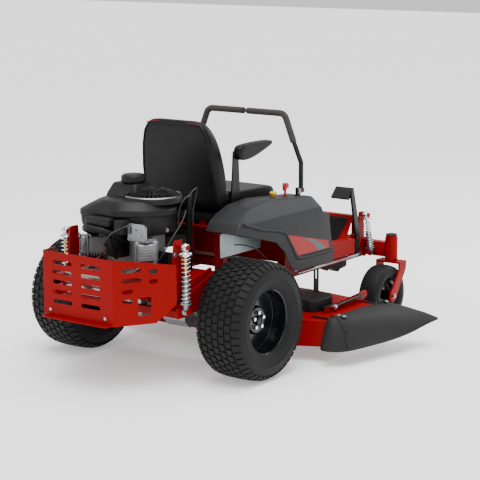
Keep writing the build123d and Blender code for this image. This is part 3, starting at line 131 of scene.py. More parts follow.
def mottle_group():
    """Colour and roughness that drift over the surface, as handled paint and plastic do."""
    tree, given, result = group_tree(
        "Mottle",
        [("Colour", "NodeSocketColor", (0.1, 0.1, 0.1, 1)), ("Scale", "NodeSocketFloat", 6.0),
         ("Spread", "NodeSocketFloat", 0.2), ("Roughness", "NodeSocketFloat", 0.5),
         ("Roughness Spread", "NodeSocketFloat", 0.1)],
        [("Colour", "NodeSocketColor"), ("Roughness", "NodeSocketFloat")])
    place = tree.nodes.new("ShaderNodeTexCoord")
    noise = tree.nodes.new("ShaderNodeTexNoise")
    noise.inputs["Detail"].default_value = 5
    tree.links.new(place.outputs["Object"], noise.inputs["Vector"])
    tree.links.new(given.outputs["Scale"], noise.inputs["Scale"])
    centred = maths(tree, "SUBTRACT", noise.outputs["Fac"], 0.5)
    lift = maths(tree, "MULTIPLY_ADD", centred, given.outputs["Spread"], 1.0)
    rough = maths(tree, "MULTIPLY_ADD", centred, given.outputs["Roughness Spread"],
                  given.outputs["Roughness"])
    shade = tree.nodes.new("ShaderNodeVectorMath")
    shade.operation = "SCALE"
    tree.links.new(given.outputs["Colour"], shade.inputs[0])
    tree.links.new(lift, shade.inputs["Scale"])
    tree.links.new(shade.outputs[0], result.inputs["Colour"])
    tree.links.new(rough, result.inputs["Roughness"])
    return tree


def grain_group():
    """Height of a fine grain: cells for hide and rubber, noise for cast and sprayed skins."""
    tree, given, result = group_tree(
        "Grain",
        [("Scale", "NodeSocketFloat", 400.0), ("Cells", "NodeSocketFloat", 0.5)],
        [("Height", "NodeSocketFloat")])
    place = tree.nodes.new("ShaderNodeTexCoord")
    noise = tree.nodes.new("ShaderNodeTexNoise")
    noise.inputs["Detail"].default_value = 3
    cells = tree.nodes.new("ShaderNodeTexVoronoi")
    cells.feature = "F1"
    mix = tree.nodes.new("ShaderNodeMix")
    for texture in (noise, cells):
        tree.links.new(place.outputs["Object"], texture.inputs["Vector"])
        tree.links.new(given.outputs["Scale"], texture.inputs["Scale"])
    tree.links.new(given.outputs["Cells"], mix.inputs["Factor"])
    tree.links.new(noise.outputs["Fac"], mix.inputs["A"])
    tree.links.new(cells.outputs["Distance"], mix.inputs["B"])
    tree.links.new(mix.outputs["Result"], result.inputs["Height"])
    return tree


def finish_material(name, colour, roughness, metallic=0.0, coat=0.0, mottle=(7.0, 0.25, 0.12),
                    grain=(500.0, 0.3), depth=0.0002, strength=0.25, specular=0.2):
    """A material with drifting colour and roughness and a fine grain."""
    material = bpy.data.materials.new(name)
    material.use_nodes = True
    nodes, links = material.node_tree.nodes, material.node_tree.links
    shader = nodes["Principled BSDF"]
    patches = nodes.new("ShaderNodeGroup")
    patches.node_tree = bpy.data.node_groups.get("Mottle") or mottle_group()
    patches.inputs["Colour"].default_value = (*colour, 1)
    patches.inputs["Scale"].default_value = mottle[0]
    patches.inputs["Spread"].default_value = mottle[1]
    patches.inputs["Roughness"].default_value = roughness
    patches.inputs["Roughness Spread"].default_value = mottle[2]
    links.new(patches.outputs["Colour"], shader.inputs["Base Color"])
    links.new(patches.outputs["Roughness"], shader.inputs["Roughness"])
    skin = nodes.new("ShaderNodeGroup")
    skin.node_tree = bpy.data.node_groups.get("Grain") or grain_group()
    skin.inputs["Scale"].default_value = grain[0]
    skin.inputs["Cells"].default_value = grain[1]
    bump = nodes.new("ShaderNodeBump")
    bump.inputs["Strength"].default_value = strength
    bump.inputs["Distance"].default_value = depth
    links.new(skin.outputs["Height"], bump.inputs["Height"])
    links.new(bump.outputs["Normal"], shader.inputs["Normal"])
    shader.inputs["Metallic"].default_value = metallic
    shader.inputs["Coat Weight"].default_value = coat
    shader.inputs["Coat Roughness"].default_value = 0.08
    shader.inputs["Specular IOR Level"].default_value = specular
    return material


# By the record's slot name or by its own name: a finish's label, its colour or the setting that holds it, its
# roughness, and what else it needs.
FINISHES = {
    "red_paint": ("Red gloss paint", "paint", 0.4,
        dict(coat=0.02, mottle=(3.0, 0.3, 0.1), grain=(260.0, 0.0), strength=0.12, specular=0.07)),
    "black_steel": ("Black powder coat", (0.005, 0.005, 0.0055), 0.36, dict(coat=0.1, grain=(700.0, 0.2))),
    "fender_plastic": ("Grained fender plastic", "fender", 0.52,
        dict(mottle=(4.0, 0.2, 0.1), grain=(900.0, 0.7), strength=0.4)),
    "black_plastic": ("Black moulded plastic", "shroud", 0.42, dict(grain=(800.0, 0.6), strength=0.35)),
    "chute_rubber": ("Chute rubber", (0.014, 0.014, 0.0145), 0.6, dict(grain=(600.0, 0.8), strength=0.5)),
    "mat_rubber": ("Ribbed mat rubber", "rubber", 0.7, dict(grain=(500.0, 0.7))),
    "tyre": ("Tyre rubber", "rubber", 0.62,
        dict(mottle=(12.0, 0.6, 0.2), grain=(420.0, 0.5), depth=0.0004, strength=0.5)),
    "rim_paint": ("Rim enamel", (0.003, 0.0035, 0.005), 0.2,
        dict(coat=0.35, grain=(300.0, 0.0), strength=0.1)),
    "vinyl": ("Grained seat vinyl", "vinyl", 0.42,
        dict(mottle=(5.0, 0.35, 0.14), grain=(420.0, 0.85), depth=0.0005, strength=0.45)),
    "bare_steel": ("Plated steel", (0.33, 0.33, 0.34), 0.3, dict(metallic=1.0, mottle=(20.0, 0.4, 0.2))),
    "chrome": ("Chrome", (0.72, 0.73, 0.74), 0.12,
        dict(metallic=1.0, mottle=(20.0, 0.15, 0.08), strength=0.05)),
    "cast_aluminium": ("Cast aluminium", (0.24, 0.245, 0.25), 0.42,
        dict(metallic=0.85, mottle=(26.0, 0.7, 0.25), grain=(320.0, 0.4), depth=0.0008, strength=0.6)),
    "tank_plastic": ("Tank plastic", (0.02, 0.02, 0.02), 0.5, {}),
    "red_plastic": ("Red plastic", (0.36, 0.001, 0.003), 0.32, dict(coat=0.1)),
    "yellow_plastic": ("Yellow plastic", (0.75, 0.42, 0.02), 0.35, dict(coat=0.2)),
    "foam": ("Foam grip", "foam", 0.9,
        dict(mottle=(30.0, 0.35, 0.05), grain=(900.0, 0.9), depth=0.0008, strength=0.8)),
    "gold_rod": ("Gold-plated rod", (0.6, 0.34, 0.08), 0.25, dict(metallic=1.0)),
    "decal_red": ("Decal red", (0.27, 0.0002, 0.002), 0.34,
        dict(coat=0.05, grain=(200.0, 0.0), strength=0.05)),
    "decal_grey": ("Decal grey", (0.06, 0.06, 0.065), 0.35, dict(coat=0.3, strength=0.05)),
    "thread_red": ("Red thread", (0.4, 0.01, 0.02), 0.7, {}),
    "cable_grey": ("Cable sheath", (0.05, 0.05, 0.052), 0.45, {}),
    "zinc": ("Zinc plate", (0.26, 0.30, 0.31), 0.38, dict(metallic=0.7, mottle=(18.0, 0.5, 0.2))),
    "hot_steel": ("Heat-stained steel", (0.5, 0.48, 0.46), 0.28,
        dict(metallic=1.0, mottle=(9.0, 0.7, 0.2))),
}
MATERIALS = {}


def make_materials(colours):
    """Makes every finish on the machine."""
    for slot, (label, colour, roughness, rest) in FINISHES.items():
        base = getattr(colours, colour) if isinstance(colour, str) else colour
        MATERIALS[slot] = finish_material(label, base, roughness, **rest)


# ---- making pieces --------------------------------------------------------------------------------------
def piece(name, bm, material, body, replaces=(), smooth=35.0):
    """Turns a bmesh into a finished object that moves with a body."""
    mesh = bpy.data.meshes.new(name)
    bm.to_mesh(mesh)
    bm.free()
    mesh.materials.append(MATERIALS[material])
    made = bpy.data.objects.new(name, mesh)
    bpy.context.scene.collection.objects.link(made)
    mesh.shade_smooth()
    mesh.set_sharp_from_angle(angle=radians(smooth))
    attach(made, body)
    if replaces:
        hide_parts(*replaces)
    return made


def bevelled(made, width, segments=2, angle=35.0):
    """Rounds the edges of a piece."""
    modifier = made.modifiers.new("Edges", "BEVEL")
    modifier.width = width
    modifier.segments = segments
    modifier.limit_method = "ANGLE"
    modifier.angle_limit = radians(angle)
    modifier.harden_normals = False
    return made


def thickened(made, thickness, offset=-1.0):
    """Gives a surface its wall."""
    modifier = made.modifiers.new("Wall", "SOLIDIFY")
    modifier.thickness = thickness
    modifier.offset = offset
    return made


def node_body(node):
    """The body that a CAD node belongs to."""
    return next(body for body, nodes in frame["record"]["behaviour"]["bodies"].items() if node in nodes)


# The rear shocks' place in millimetres.
SHOCK_X, SHOCK_Y = 374, -303
# Heights in metres above which a node's copy is hidden inside another piece and is cut off.
COVERED_ABOVE = {"crankshaft": 0.86, "lap_bar_left": 1.075, "lap_bar_right": 1.075}


def everything(bm):
    return bm.verts[:] + bm.edges[:] + bm.faces[:]


def cut_off(bm, place, outwards):
    """Cuts away what lies beyond a plane, and returns the edges of the opening."""
    cut = bmesh.ops.bisect_plane(bm, geom=everything(bm), clear_outer=True, plane_co=place, plane_no=outwards)
    return [e for e in cut["geom_cut"] if isinstance(e, bmesh.types.BMEdge)]


def dress(node, material, bevel, segments=2, smooth=32.0):
    """A merged copy of a CAD node with rounded edges and a finish, in its place."""
    bm = bmesh.new()
    bm.from_mesh(frame["nodes"][node].data)
    bmesh.ops.remove_doubles(bm, verts=bm.verts, dist=1e-5)
    bmesh.ops.dissolve_limit(bm, angle_limit=radians(1.0), verts=bm.verts, edges=bm.edges)
    if node in COVERED_ABOVE:
        bmesh.ops.contextual_create(bm, geom=cut_off(bm, (0, 0, COVERED_ABOVE[node]), (0, 0, 1)))
    made = piece(node + "_finished", bm, material, node_body(node), replaces=(node,), smooth=smooth)
    return bevelled(made, bevel, segments)


def solid_box(bm, low, high, bevel=0.0, segments=2):
    """Adds a box between two corners, with rounded edges."""
    low, high = Vector(low), Vector(high)
    made = bmesh.ops.create_cube(bm, size=1.0, matrix=Matrix.LocRotScale(
        (low + high) / 2, None, [abs(a - b) for a, b in zip(high, low)]))
    if bevel:
        edges = {e for v in made["verts"] for e in v.link_edges}
        bmesh.ops.bevel(bm, geom=list(edges), offset=bevel, segments=segments, profile=0.5, affect="EDGES",
                        material=-1)


def rod_between(bm, start, end, radius, segments=24, end_radius=None):
    """Adds a closed round bar between two points."""
    start, end = Vector(start), Vector(end)
    turn = (end - start).to_track_quat("Z", "Y")
    bmesh.ops.create_cone(bm, cap_ends=True, segments=segments, radius1=radius,
                          radius2=radius if end_radius is None else end_radius, depth=(end - start).length,
                          matrix=Matrix.LocRotScale((start + end) / 2, turn, None))


def lathe(bm, outline, centre, axis, steps=96):
    """Spins an outline of (along the axis, radius) points into a closed shell about an axis."""
    centre, axis = Vector(centre), Vector(axis)
    out = Vector((0, 0, 1)) if abs(axis.z) < 0.5 else Vector((1, 0, 0))
    verts = [bm.verts.new(centre + axis * a + out * r) for a, r in outline]
    edges = [bm.edges.new(pair) for pair in zip(verts, verts[1:])]
    bmesh.ops.spin(bm, geom=verts + edges, cent=centre, axis=axis, angle=2 * pi, steps=steps, use_merge=True)
    bmesh.ops.remove_doubles(bm, verts=bm.verts, dist=1e-6)
    bmesh.ops.recalc_face_normals(bm, faces=bm.faces)


def hex_head(bm, centre, axis, across=0.008, height=0.006):
    """Adds a bolt head with its washer."""
    centre, axis = Vector(centre), Vector(axis).normalized()
    turn = axis.to_track_quat("Z", "Y")
    rod_between(bm, centre, centre + axis * 0.0015, across * 1.35, 20)
    bmesh.ops.create_cone(bm, cap_ends=True, segments=6, radius1=across, radius2=across * 0.94, depth=height,
                          matrix=Matrix.LocRotScale(centre + axis * (0.0015 + height / 2), turn, None))


def ribbon(bm, rows, closed=False):
    """Bridges rows of points, each row one loop of edges, into a surface."""
    loops = []
    for row in rows:
        verts = [bm.verts.new(p) for p in row]
        pairs = list(zip(verts, verts[1:])) + ([(verts[-1], verts[0])] if closed else [])
        loops.append([bm.edges.new(pair) for pair in pairs])
    for first, second in zip(loops, loops[1:]):
        bmesh.ops.bridge_loops(bm, edges=first + second)
    bmesh.ops.recalc_face_normals(bm, faces=bm.faces)


def tube_curve(name, route, radius, material, body):
    """A round tube along a smooth line that follows given control points, in millimetres."""
    data = bpy.data.curves.new(name, "CURVE")
    data.dimensions = "3D"
    data.bevel_depth = radius
    data.bevel_resolution = 4
    data.resolution_u = 8
    data.use_fill_caps = True
    spline = data.splines.new("NURBS")
    spline.points.add(len(route) - 1)
    for point, place in zip(spline.points, route):
        point.co = (*at(*place), 1)
    spline.order_u = 3
    spline.use_endpoint_u = True
    data.materials.append(MATERIALS[material])
    made = bpy.data.objects.new(name, data)
    bpy.context.scene.collection.objects.link(made)
    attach(made, body)
    return made


def at(x, y, z):
    """A point in metres from millimetres in the frame of the CAD model."""
    return Vector((x, y, z)) / 1000


def rounded_route(corners, radius, steps=6):
    """A list of points along straight runs with a rounded bend at each inner corner."""
    points = [corners[0]]
    for before, corner, after in zip(corners, corners[1:], corners[2:]):
        into, out = (before - corner).normalized(), (after - corner).normalized()
        half = into.angle(out) / 2
        reach = radius / math.tan(half)
        centre = corner + (into + out).normalized() * radius / sin(half)
        first, last = ((corner + way * reach - centre).normalized() for way in (into, out))
        points += [centre + first.slerp(last, n / steps) * radius for n in range(steps + 1)]
    return points + [corners[-1]]


def swept_tube(bm, points, radius, segments=20, squash=1.0):
    """Adds a capped tube along points."""
    loops = []
    side = None
    for n, point in enumerate(points):
        ahead = (points[min(n + 1, len(points) - 1)] - points[max(n - 1, 0)]).normalized()
        if side is None:
            side = ahead.orthogonal().normalized()
        side = (side - ahead * side.dot(ahead)).normalized()
        up = ahead.cross(side)
        loops.append([bm.verts.new(point + side * radius * cos(a) + up * radius * squash * sin(a))
                      for a in (2 * pi * k / segments for k in range(segments))])
    edges = [[bm.edges.new(pair) for pair in zip(loop, loop[1:] + loop[:1])] for loop in loops]
    for first, second in zip(edges, edges[1:]):
        bmesh.ops.bridge_loops(bm, edges=first + second)
    for loop in (loops[0], loops[-1]):
        bm.faces.new(loop)
    bmesh.ops.recalc_face_normals(bm, faces=bm.faces)


def prism(bm, outline, direction, bevel=0.0, segments=3):
    """Adds a closed prism: a flat outline of points pushed along a direction."""
    face = bm.faces.new([bm.verts.new(p) for p in outline])
    pushed = bmesh.ops.extrude_face_region(bm, geom=[face])
    moved = [v for v in pushed["geom"] if isinstance(v, bmesh.types.BMVert)]
    bmesh.ops.translate(bm, vec=direction, verts=moved)
    bm.faces.ensure_lookup_table()
    faces = {f for v in moved for f in v.link_faces} | {face}
    bmesh.ops.recalc_face_normals(bm, faces=list(faces))
    if bevel:
        edges = {e for f in faces for e in f.edges}
        bmesh.ops.bevel(bm, geom=list(edges), offset=bevel, segments=segments, profile=0.5, affect="EDGES",
                        material=-1, clamp_overlap=True)
    return faces


def cut_hole(bm, low, high):
    """Opens a box-shaped hole in a surface."""
    for axis in range(3):
        for place in (low[axis], high[axis]):
            normal = Vector((0, 0, 0))
            normal[axis] = 1
            spot = Vector((0, 0, 0))
            spot[axis] = place
            bmesh.ops.bisect_plane(bm, geom=everything(bm), plane_co=spot, plane_no=normal, dist=1e-6)
    inside = [f for f in bm.faces
              if all(low[k] - 1e-6 < f.calc_center_median()[k] < high[k] + 1e-6 for k in range(3))]
    bmesh.ops.delete(bm, geom=inside, context="FACES")


# ---- pieces ---------------------------------------------------------------------------------------------
# Nodes kept as they are but for rounded edges: name, finish and the rounding in metres.
PLAIN_DRESS = (
    ("frame_rails", "red_paint", 0.0025), ("frame_crossmembers", "red_paint", 0.0015),
    ("shock_towers", "red_paint", 0.0015), ("rear_guard", "red_paint", 0.0014),
    ("floor_pan", "red_paint", 0.0015), ("seat_box", "red_paint", 0.0015),
    ("seat_pan", "black_steel", 0.0015), ("side_brackets", "red_paint", 0.0012),
    ("rear_cradle", "red_paint", 0.002),
    ("deck_shell", "red_paint", 0.0018), ("deck_fittings", "black_steel", 0.0012),
    ("lift_pedal", "black_steel", 0.0015), ("crankshaft", "bare_steel", 0.001),
    ("engine_fittings", "black_steel", 0.0012), ("belt_covers", "black_plastic", 0.002),
    ("transaxles", "cast_aluminium", 0.003), ("crankcase", "cast_aluminium", 0.004),
    ("cylinders", "cast_aluminium", 0.0008), ("valve_covers", "cast_aluminium", 0.006),
    ("rear_shock_cylinders", "cast_aluminium", 0.001),
    ("shock_rods", "chrome", 0.0006), ("lift_rod", "bare_steel", 0.0008), ("muffler", "hot_steel", 0.003),
    ("blade_left", "bare_steel", 0.0008), ("blade_centre", "bare_steel", 0.0008),
    ("blade_right", "bare_steel", 0.0008), ("fuel_tank", "tank_plastic", 0.006),
    ("throttle_lever", "red_plastic", 0.0012), ("blade_knob", "yellow_plastic", 0.0015),
    ("floor_mat", "mat_rubber", 0.001),
)
PAIRED_DRESS = (
    ("front_arm", "red_paint", 0.002), ("caster_fork", "red_paint", 0.002),
    ("control_arm", "black_steel", 0.0012), ("lap_bar", "black_steel", 0.001),
    ("front_shock_cylinder", "cast_aluminium", 0.001),
    ("rear_rim", "rim_paint", 0.0015), ("caster_rim", "rim_paint", 0.0015), ("caster_tyre", "tyre", 0.006),
)


class MOWER_OT_frame_parts(bpy.types.Operator):
    """Rounds the edges of the sheet metal, castings and small fittings and gives them their finishes"""
    bl_idname = "mower.frame_parts"
    bl_label = "Frame parts"

    def execute(self, context):
        for node, material, bevel in PLAIN_DRESS:
            dress(node, material, bevel)
        for stem, material, bevel in PAIRED_DRESS:
            for side, _ in SIDES:
                dress(f"{stem}_{side}", material, bevel)
        return {"FINISHED"}


COIL_STEPS = 18
END_TURN_CLOSING = 0.018


def coil_spring(bm, top, foot, turns, radius, wire):
    """Adds a helical spring between two points, its last turns closed up."""
    top, foot = Vector(top), Vector(foot)
    axis = foot - top
    side = axis.orthogonal().normalized()
    other = axis.normalized().cross(side)
    steps = turns * COIL_STEPS
    points = []
    for n in range(steps + 1):
        share = n / steps
        eased = share - END_TURN_CLOSING * sin(2 * pi * share)
        angle = 2 * pi * turns * share
        points.append(top + axis * eased + (side * cos(angle) + other * sin(angle)) * radius)
    swept_tube(bm, points, wire, 8)


class MOWER_OT_springs(bpy.types.Operator):
    """Makes the coil springs of the shocks, fixed to the chassis"""
    bl_idname = "mower.springs"
    bl_label = "Springs"

    def execute(self, context):
        low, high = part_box("rear_springs")
        bm = bmesh.new()
        for sign in (-1, 1):
            top, foot = ((sign * SHOCK_X / 1000, SHOCK_Y / 1000, z) for z in (high.z - 0.003, low.z + 0.003))
            coil_spring(bm, top, foot, 11, 0.0221, 0.0029)
        rear = piece("rear_coils", bm, "chrome", "chassis", replaces=("rear_springs",), smooth=80)
        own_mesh(rear)
        for side, sign in SIDES:
            low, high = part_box(f"front_spring_{side}")
            bm = bmesh.new()
            ends = [at(sign * (358 + 34 * (588 - z * 1000) / 205), 1331, z * 1000)
                    for z in (high.z - 0.006, low.z + 0.006)]
            coil_spring(bm, *ends, 10, 0.0175, 0.0025)
            front = piece(f"front_coil_{side}", bm, "chrome", "chassis", replaces=(f"front_spring_{side}",),
                          smooth=80)
            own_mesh(front)
        return {"FINISHED"}


# Half of the tyre's outline from its middle to its bead: (across, radius) in millimetres.
TYRE_HALF = ((0, 283.5), (60, 282.5), (96, 278.5), (113, 270), (124, 256), (129.4, 236), (129.6, 221),
             (131.0, 219), (131.0, 215), (129.4, 213), (128, 200), (123, 178), (114, 164), (107, 158))
TREAD_PITCHES = 46
COLUMN_STEP = 35.5
BLOCK_ROOT = 2
BLOCK_TOP_SHARE = 0.92


def tyre_profile():
    outer = [(-x, r) for x, r in reversed(TYRE_HALF)] + [(x, r) for x, r in TYRE_HALF[1:]]
    inner = [(100, 160), (108, 180), (118, 214), (108, 250), (0, 262), (-108, 250), (-118, 214), (-108, 180),
             (-100, 160)]
    return outer + inner + outer[:1]


def profile_point(x, depth):
    """Radius of the carcass at a place across the tread, and the point raised from it, in millimetres."""
    side = -1 if x < 0 else 1
    for (x0, r0), (x1, r1) in zip(TYRE_HALF, TYRE_HALF[1:]):
        if abs(x) <= x1:
            share = (abs(x) - x0) / (x1 - x0)
            normal = Vector((-(r1 - r0), x1 - x0)).normalized()
            return x + side * normal.x * depth, r0 + (r1 - r0) * share + normal.y * depth
    return x, r1


class MOWER_OT_rear_tyres(bpy.types.Operator):
    """Makes the turf tyres: a lathed carcass with rows of staggered rounded blocks"""
    bl_idname = "mower.rear_tyres"
    bl_label = "Rear tyres"

    def execute(self, context):
        sizes = context.scene.mower_sizes
        pitch = 2 * pi / TREAD_PITCHES
        for side, sign in SIDES:
            centre = Vector((sign * WHEEL_CENTRE.x, WHEEL_CENTRE.y, WHEEL_CENTRE.z))
            bm = bmesh.new()
            lathe(bm, [(x / 1000, r / 1000) for x, r in tyre_profile()], centre, (1, 0, 0), steps=120)
            piece(f"rear_tyre_carcass_{side}", bm, "tyre", f"wheel_{side}", replaces=(f"rear_tyre_{side}",),
                  smooth=50)
            blocks = bmesh.new()
            for column in range(-3, 4):
                width = 29 if abs(column) < 3 else 30
                middle = column * COLUMN_STEP
                cube = bmesh.ops.create_cube(blocks, size=1.0)["verts"]
                edges = list({e for v in cube for e in v.link_edges})
                upright = [e for e in edges if abs((e.verts[0].co - e.verts[1].co).z) > 0.5]
                rounded = bmesh.ops.bevel(blocks, geom=upright, offset=0.24, segments=2, profile=0.5,
                                          affect="EDGES", material=-1)
                verts = list({v for f in rounded["faces"] for v in f.verts})
                arc = pitch * WHEEL_RADIUS - sizes.block_gap
                depth = sizes.tread_depth * 1000
                for v in verts:
                    across, along, up = v.co
                    x, r = profile_point(middle + across * width, depth if up > 0 else -BLOCK_ROOT)
                    shrink = BLOCK_TOP_SHARE if up > 0 else 1.0
                    angle = (along * arc * shrink / WHEEL_RADIUS) + (pitch / 2 if column % 2 else 0)
                    v.co = centre + Vector((x / 1000, r * sin(angle) / 1000, r * cos(angle) / 1000))
            bmesh.ops.spin(blocks, geom=everything(blocks), cent=centre,
                           axis=(1, 0, 0), angle=2 * pi - pitch, steps=TREAD_PITCHES - 1, use_duplicate=True)
            bmesh.ops.recalc_face_normals(blocks, faces=blocks.faces)
            tread = piece(f"rear_tyre_blocks_{side}", blocks, "tyre", f"wheel_{side}")
            bevelled(tread, 0.0012, 1, 40)
        return {"FINISHED"}


WHEEL_NUTS = 5
NUT_CIRCLE_RADIUS = 0.038
HUB_FACE_X = 0.5555
CASTER_BOLT_REACH = 0.078


class MOWER_OT_wheel_fittings(bpy.types.Operator):
    """Adds the wheel nuts, hub caps and caster axle bolts"""
    bl_idname = "mower.wheel_fittings"
    bl_label = "Wheel fittings"

    def execute(self, context):
        for side, sign in SIDES:
            bm = bmesh.new()
            out = Vector((sign, 0, 0))
            hub = Vector((sign * HUB_FACE_X, WHEEL_CENTRE.y, WHEEL_CENTRE.z))
            for n in range(WHEEL_NUTS):
                turn = 2 * pi * n / WHEEL_NUTS + 0.3
                spot = hub + Vector((0, NUT_CIRCLE_RADIUS * cos(turn), NUT_CIRCLE_RADIUS * sin(turn)))
                hex_head(bm, spot + out * 0.012, out, 0.0105, 0.016)
            piece(f"wheel_nuts_{side}", bm, "chrome", f"wheel_{side}")
            bm = bmesh.new()
            lathe(bm, [(0.0, 0.0), (0.034, 0.0), (0.034, 0.012), (0.029, 0.021), (0.018, 0.0245),
                       (0.0, 0.0255), (0.0, 0.0)], hub, out, 48)
            piece(f"hub_cap_{side}", bm, "rim_paint", f"wheel_{side}")
            bm = bmesh.new()
            for way in (-1, 1):
                spot = Vector((sign * CASTER_CENTRE.x + way * CASTER_BOLT_REACH, *CASTER_CENTRE.yz))
                hex_head(bm, spot, (way, 0, 0), 0.011, 0.008)
            piece(f"caster_axle_bolts_{side}", bm, "bare_steel", f"caster_{side}")
        return {"FINISHED"}


# Outlines on the fender's side, as (y, z) in millimetres.
FENDER_TOP = ((-10, 698), (20, 742), (75, 772), (160, 802), (320, 815), (700, 787), (746, 704), (802, 688),
              (824, 560), (842, 500), (846, 424))
FENDER_ARCH = ((480, 436), (452, 458), (388, 551), (318, 608), (206, 640))
FENDER_INNER_X, FENDER_WIDTH = 272, 0.19
STRIPE_X, SWOOSH_X, RIDGE_X = 461.5, 462.8, 459
# Openings in the fender's top: lowest and highest corners in millimetres.
FENDER_SLOTS = (((333, 624, 740), (367, 724, 840)), ((343, 528, 740), (357, 584, 840)))
RIDGE_LINE = ((44, 737), (190, 690), (330, 662), (398, 640), (500, 496), (560, 488), (842, 484))
STRIPE = ((418, 631), (789, 545), (800, 505), (513, 511))
SWOOSH = ((566, 592), (648, 575), (714, 546), (776, 508), (690, 509), (650, 548), (594, 575))


class MOWER_OT_fenders(bpy.types.Operator):
    """Makes the moulded fenders with their wheel arches, slots and stripes"""
    bl_idname = "mower.fenders"
    bl_label = "Fenders"

    def execute(self, context):
        for side, sign in SIDES:
            def place(x, y, z):
                return at(sign * x, y, z)
            bm = bmesh.new()
            prism(bm, [place(FENDER_INNER_X, y, z) for y, z in FENDER_TOP + FENDER_ARCH],
                  Vector((sign * FENDER_WIDTH, 0, 0)))
            slope = Vector((sign * 94, 0, 64)).normalized()
            bmesh.ops.holes_fill(bm, edges=cut_off(bm, place(398, 0, 822), slope))
            bmesh.ops.recalc_face_normals(bm, faces=bm.faces)
            outer = [e for e in bm.edges if max(abs(v.co.x) for v in e.verts) > 0.395
                     and not all(f.normal.z < -0.3 for f in e.link_faces)
                     and not any(f.normal.z < -0.35 and abs(f.normal.x) < 0.1 for f in e.link_faces)]
            bmesh.ops.bevel(bm, geom=outer, offset=0.013, segments=4, profile=0.5, affect="EDGES",
                            material=-1, clamp_overlap=True)
            hidden = [f for f in bm.faces if f.normal.x * sign < -0.9
                      or (f.normal.z < -0.3 and abs(f.normal.x) < 0.2 and f.calc_center_median().z < 0.66)]
            bmesh.ops.delete(bm, geom=hidden, context="FACES")
            for low, high in FENDER_SLOTS:
                xs = sorted((sign * low[0], sign * high[0]))
                cut_hole(bm, at(xs[0], low[1], low[2]), at(xs[1], high[1], high[2]))
            shell = piece(f"fender_shell_{side}", bm, "fender_plastic", "chassis",
                          replaces=(f"fender_{side}",), smooth=28)
            thickened(shell, 0.004)
            bevelled(shell, 0.0012, 2, 50)
            bm = bmesh.new()
            ridge = rounded_route([place(RIDGE_X, y, z) for y, z in RIDGE_LINE], 0.028)
            swept_tube(bm, ridge, 0.012, 16, 0.6)
            piece(f"arch_ridge_{side}", bm, "fender_plastic", "chassis", smooth=50)
            bm = bmesh.new()
            prism(bm, [place(STRIPE_X, y, z) for y, z in STRIPE], Vector((sign * 0.0012, 0, 0)))
            piece(f"side_stripe_{side}", bm, "decal_red", "chassis")
            bm = bmesh.new()
            prism(bm, [place(SWOOSH_X, y, z) for y, z in SWOOSH], Vector((sign * 0.0006, 0, 0)))
            piece(f"side_swoosh_{side}", bm, "decal_grey", "chassis")
        return {"FINISHED"}


def capped_loft(bm, rows):
    """Bridges closed rows and closes both ends."""
    ribbon(bm, rows, closed=True)
    for row in (rows[0], rows[-1]):
        ends = {v for v in bm.verts if any((v.co - p).length < 1e-7 for p in row)}
        edges = [e for e in bm.edges if e.is_boundary and set(e.verts) <= ends]
        bmesh.ops.contextual_create(bm, geom=edges)
    bmesh.ops.recalc_face_normals(bm, faces=bm.faces)


def puffed(bm, outline, low, high, crown=1.012):
    """Adds a padded body: an outline of (y, z) in millimetres carried across X and drawn in at its ends."""
    middle = Vector((sum(y for y, _ in outline), sum(z for _, z in outline))) / len(outline)
    half, centre = (high - low) / 2, (high + low) / 2
    edge = min(24, half * 0.4)
    rows = []
    for share, scale in ((-half, 0.62), (-half, 0.84), (-half + edge * 0.3, 0.95), (-half + edge, 1.0),
                         (-half * 0.45, crown), (0, crown + 0.004), (half * 0.45, crown), (half - edge, 1.0),
                         (half - edge * 0.3, 0.95), (half, 0.84), (half, 0.62)):
        rows.append([at(centre + share, middle.x + (y - middle.x) * scale, middle.y + (z - middle.y) * scale)
                     for y, z in outline])
    capped_loft(bm, rows)


def rounded_loop(low, high, corner, z, steps=4):
    """Points around a rectangle with rounded corners, in millimetres."""
    points = []
    left, right, back, front = low[0] + corner, high[0] - corner, low[1] + corner, high[1] - corner
    for turn, (cx, cy) in enumerate(((right, front), (left, front), (left, back), (right, back))):
        for n in range(steps + 1):
            angle = pi / 2 * (turn + n / steps)
            points.append(at(cx + corner * cos(angle), cy + corner * sin(angle), z))
    return points


def subdivided(made, levels=2):
    modifier = made.modifiers.new("Smooth", "SUBSURF")
    modifier.levels = modifier.render_levels = levels
    return made


# Outlines from the side, as (y, z) in millimetres.
CUSHION_OUTLINE = ((206, 755), (614, 755), (634, 764), (639, 792), (630, 826), (604, 840), (560, 843),
                   (460, 845), (300, 848), (240, 860), (206, 852), (203, 810))
ARMREST_OUTLINE = ((232, 1016), (288, 1011), (350, 1022), (420, 1042), (480, 1062), (508, 1072), (513, 1082),
                   (500, 1091), (440, 1093), (380, 1094), (300, 1092), (245, 1089), (223, 1076), (219, 1042))
# The seat back's levels: height, half width, rear and front, and corner radius, in millimetres.
SEAT_BACK_ROWS = ((753, 238, 160, 199, 16), (800, 241, 146, 199, 18), (850, 242, 138, 203, 22),
                  (884, 242, 132, 220, 26), (960, 241, 119, 212, 30), (1080, 224, 98, 192, 30),
                  (1150, 204, 88, 168, 28), (1188, 180, 86, 150, 26), (1206, 150, 90, 134, 18),
                  (1211, 120, 100, 124, 8))


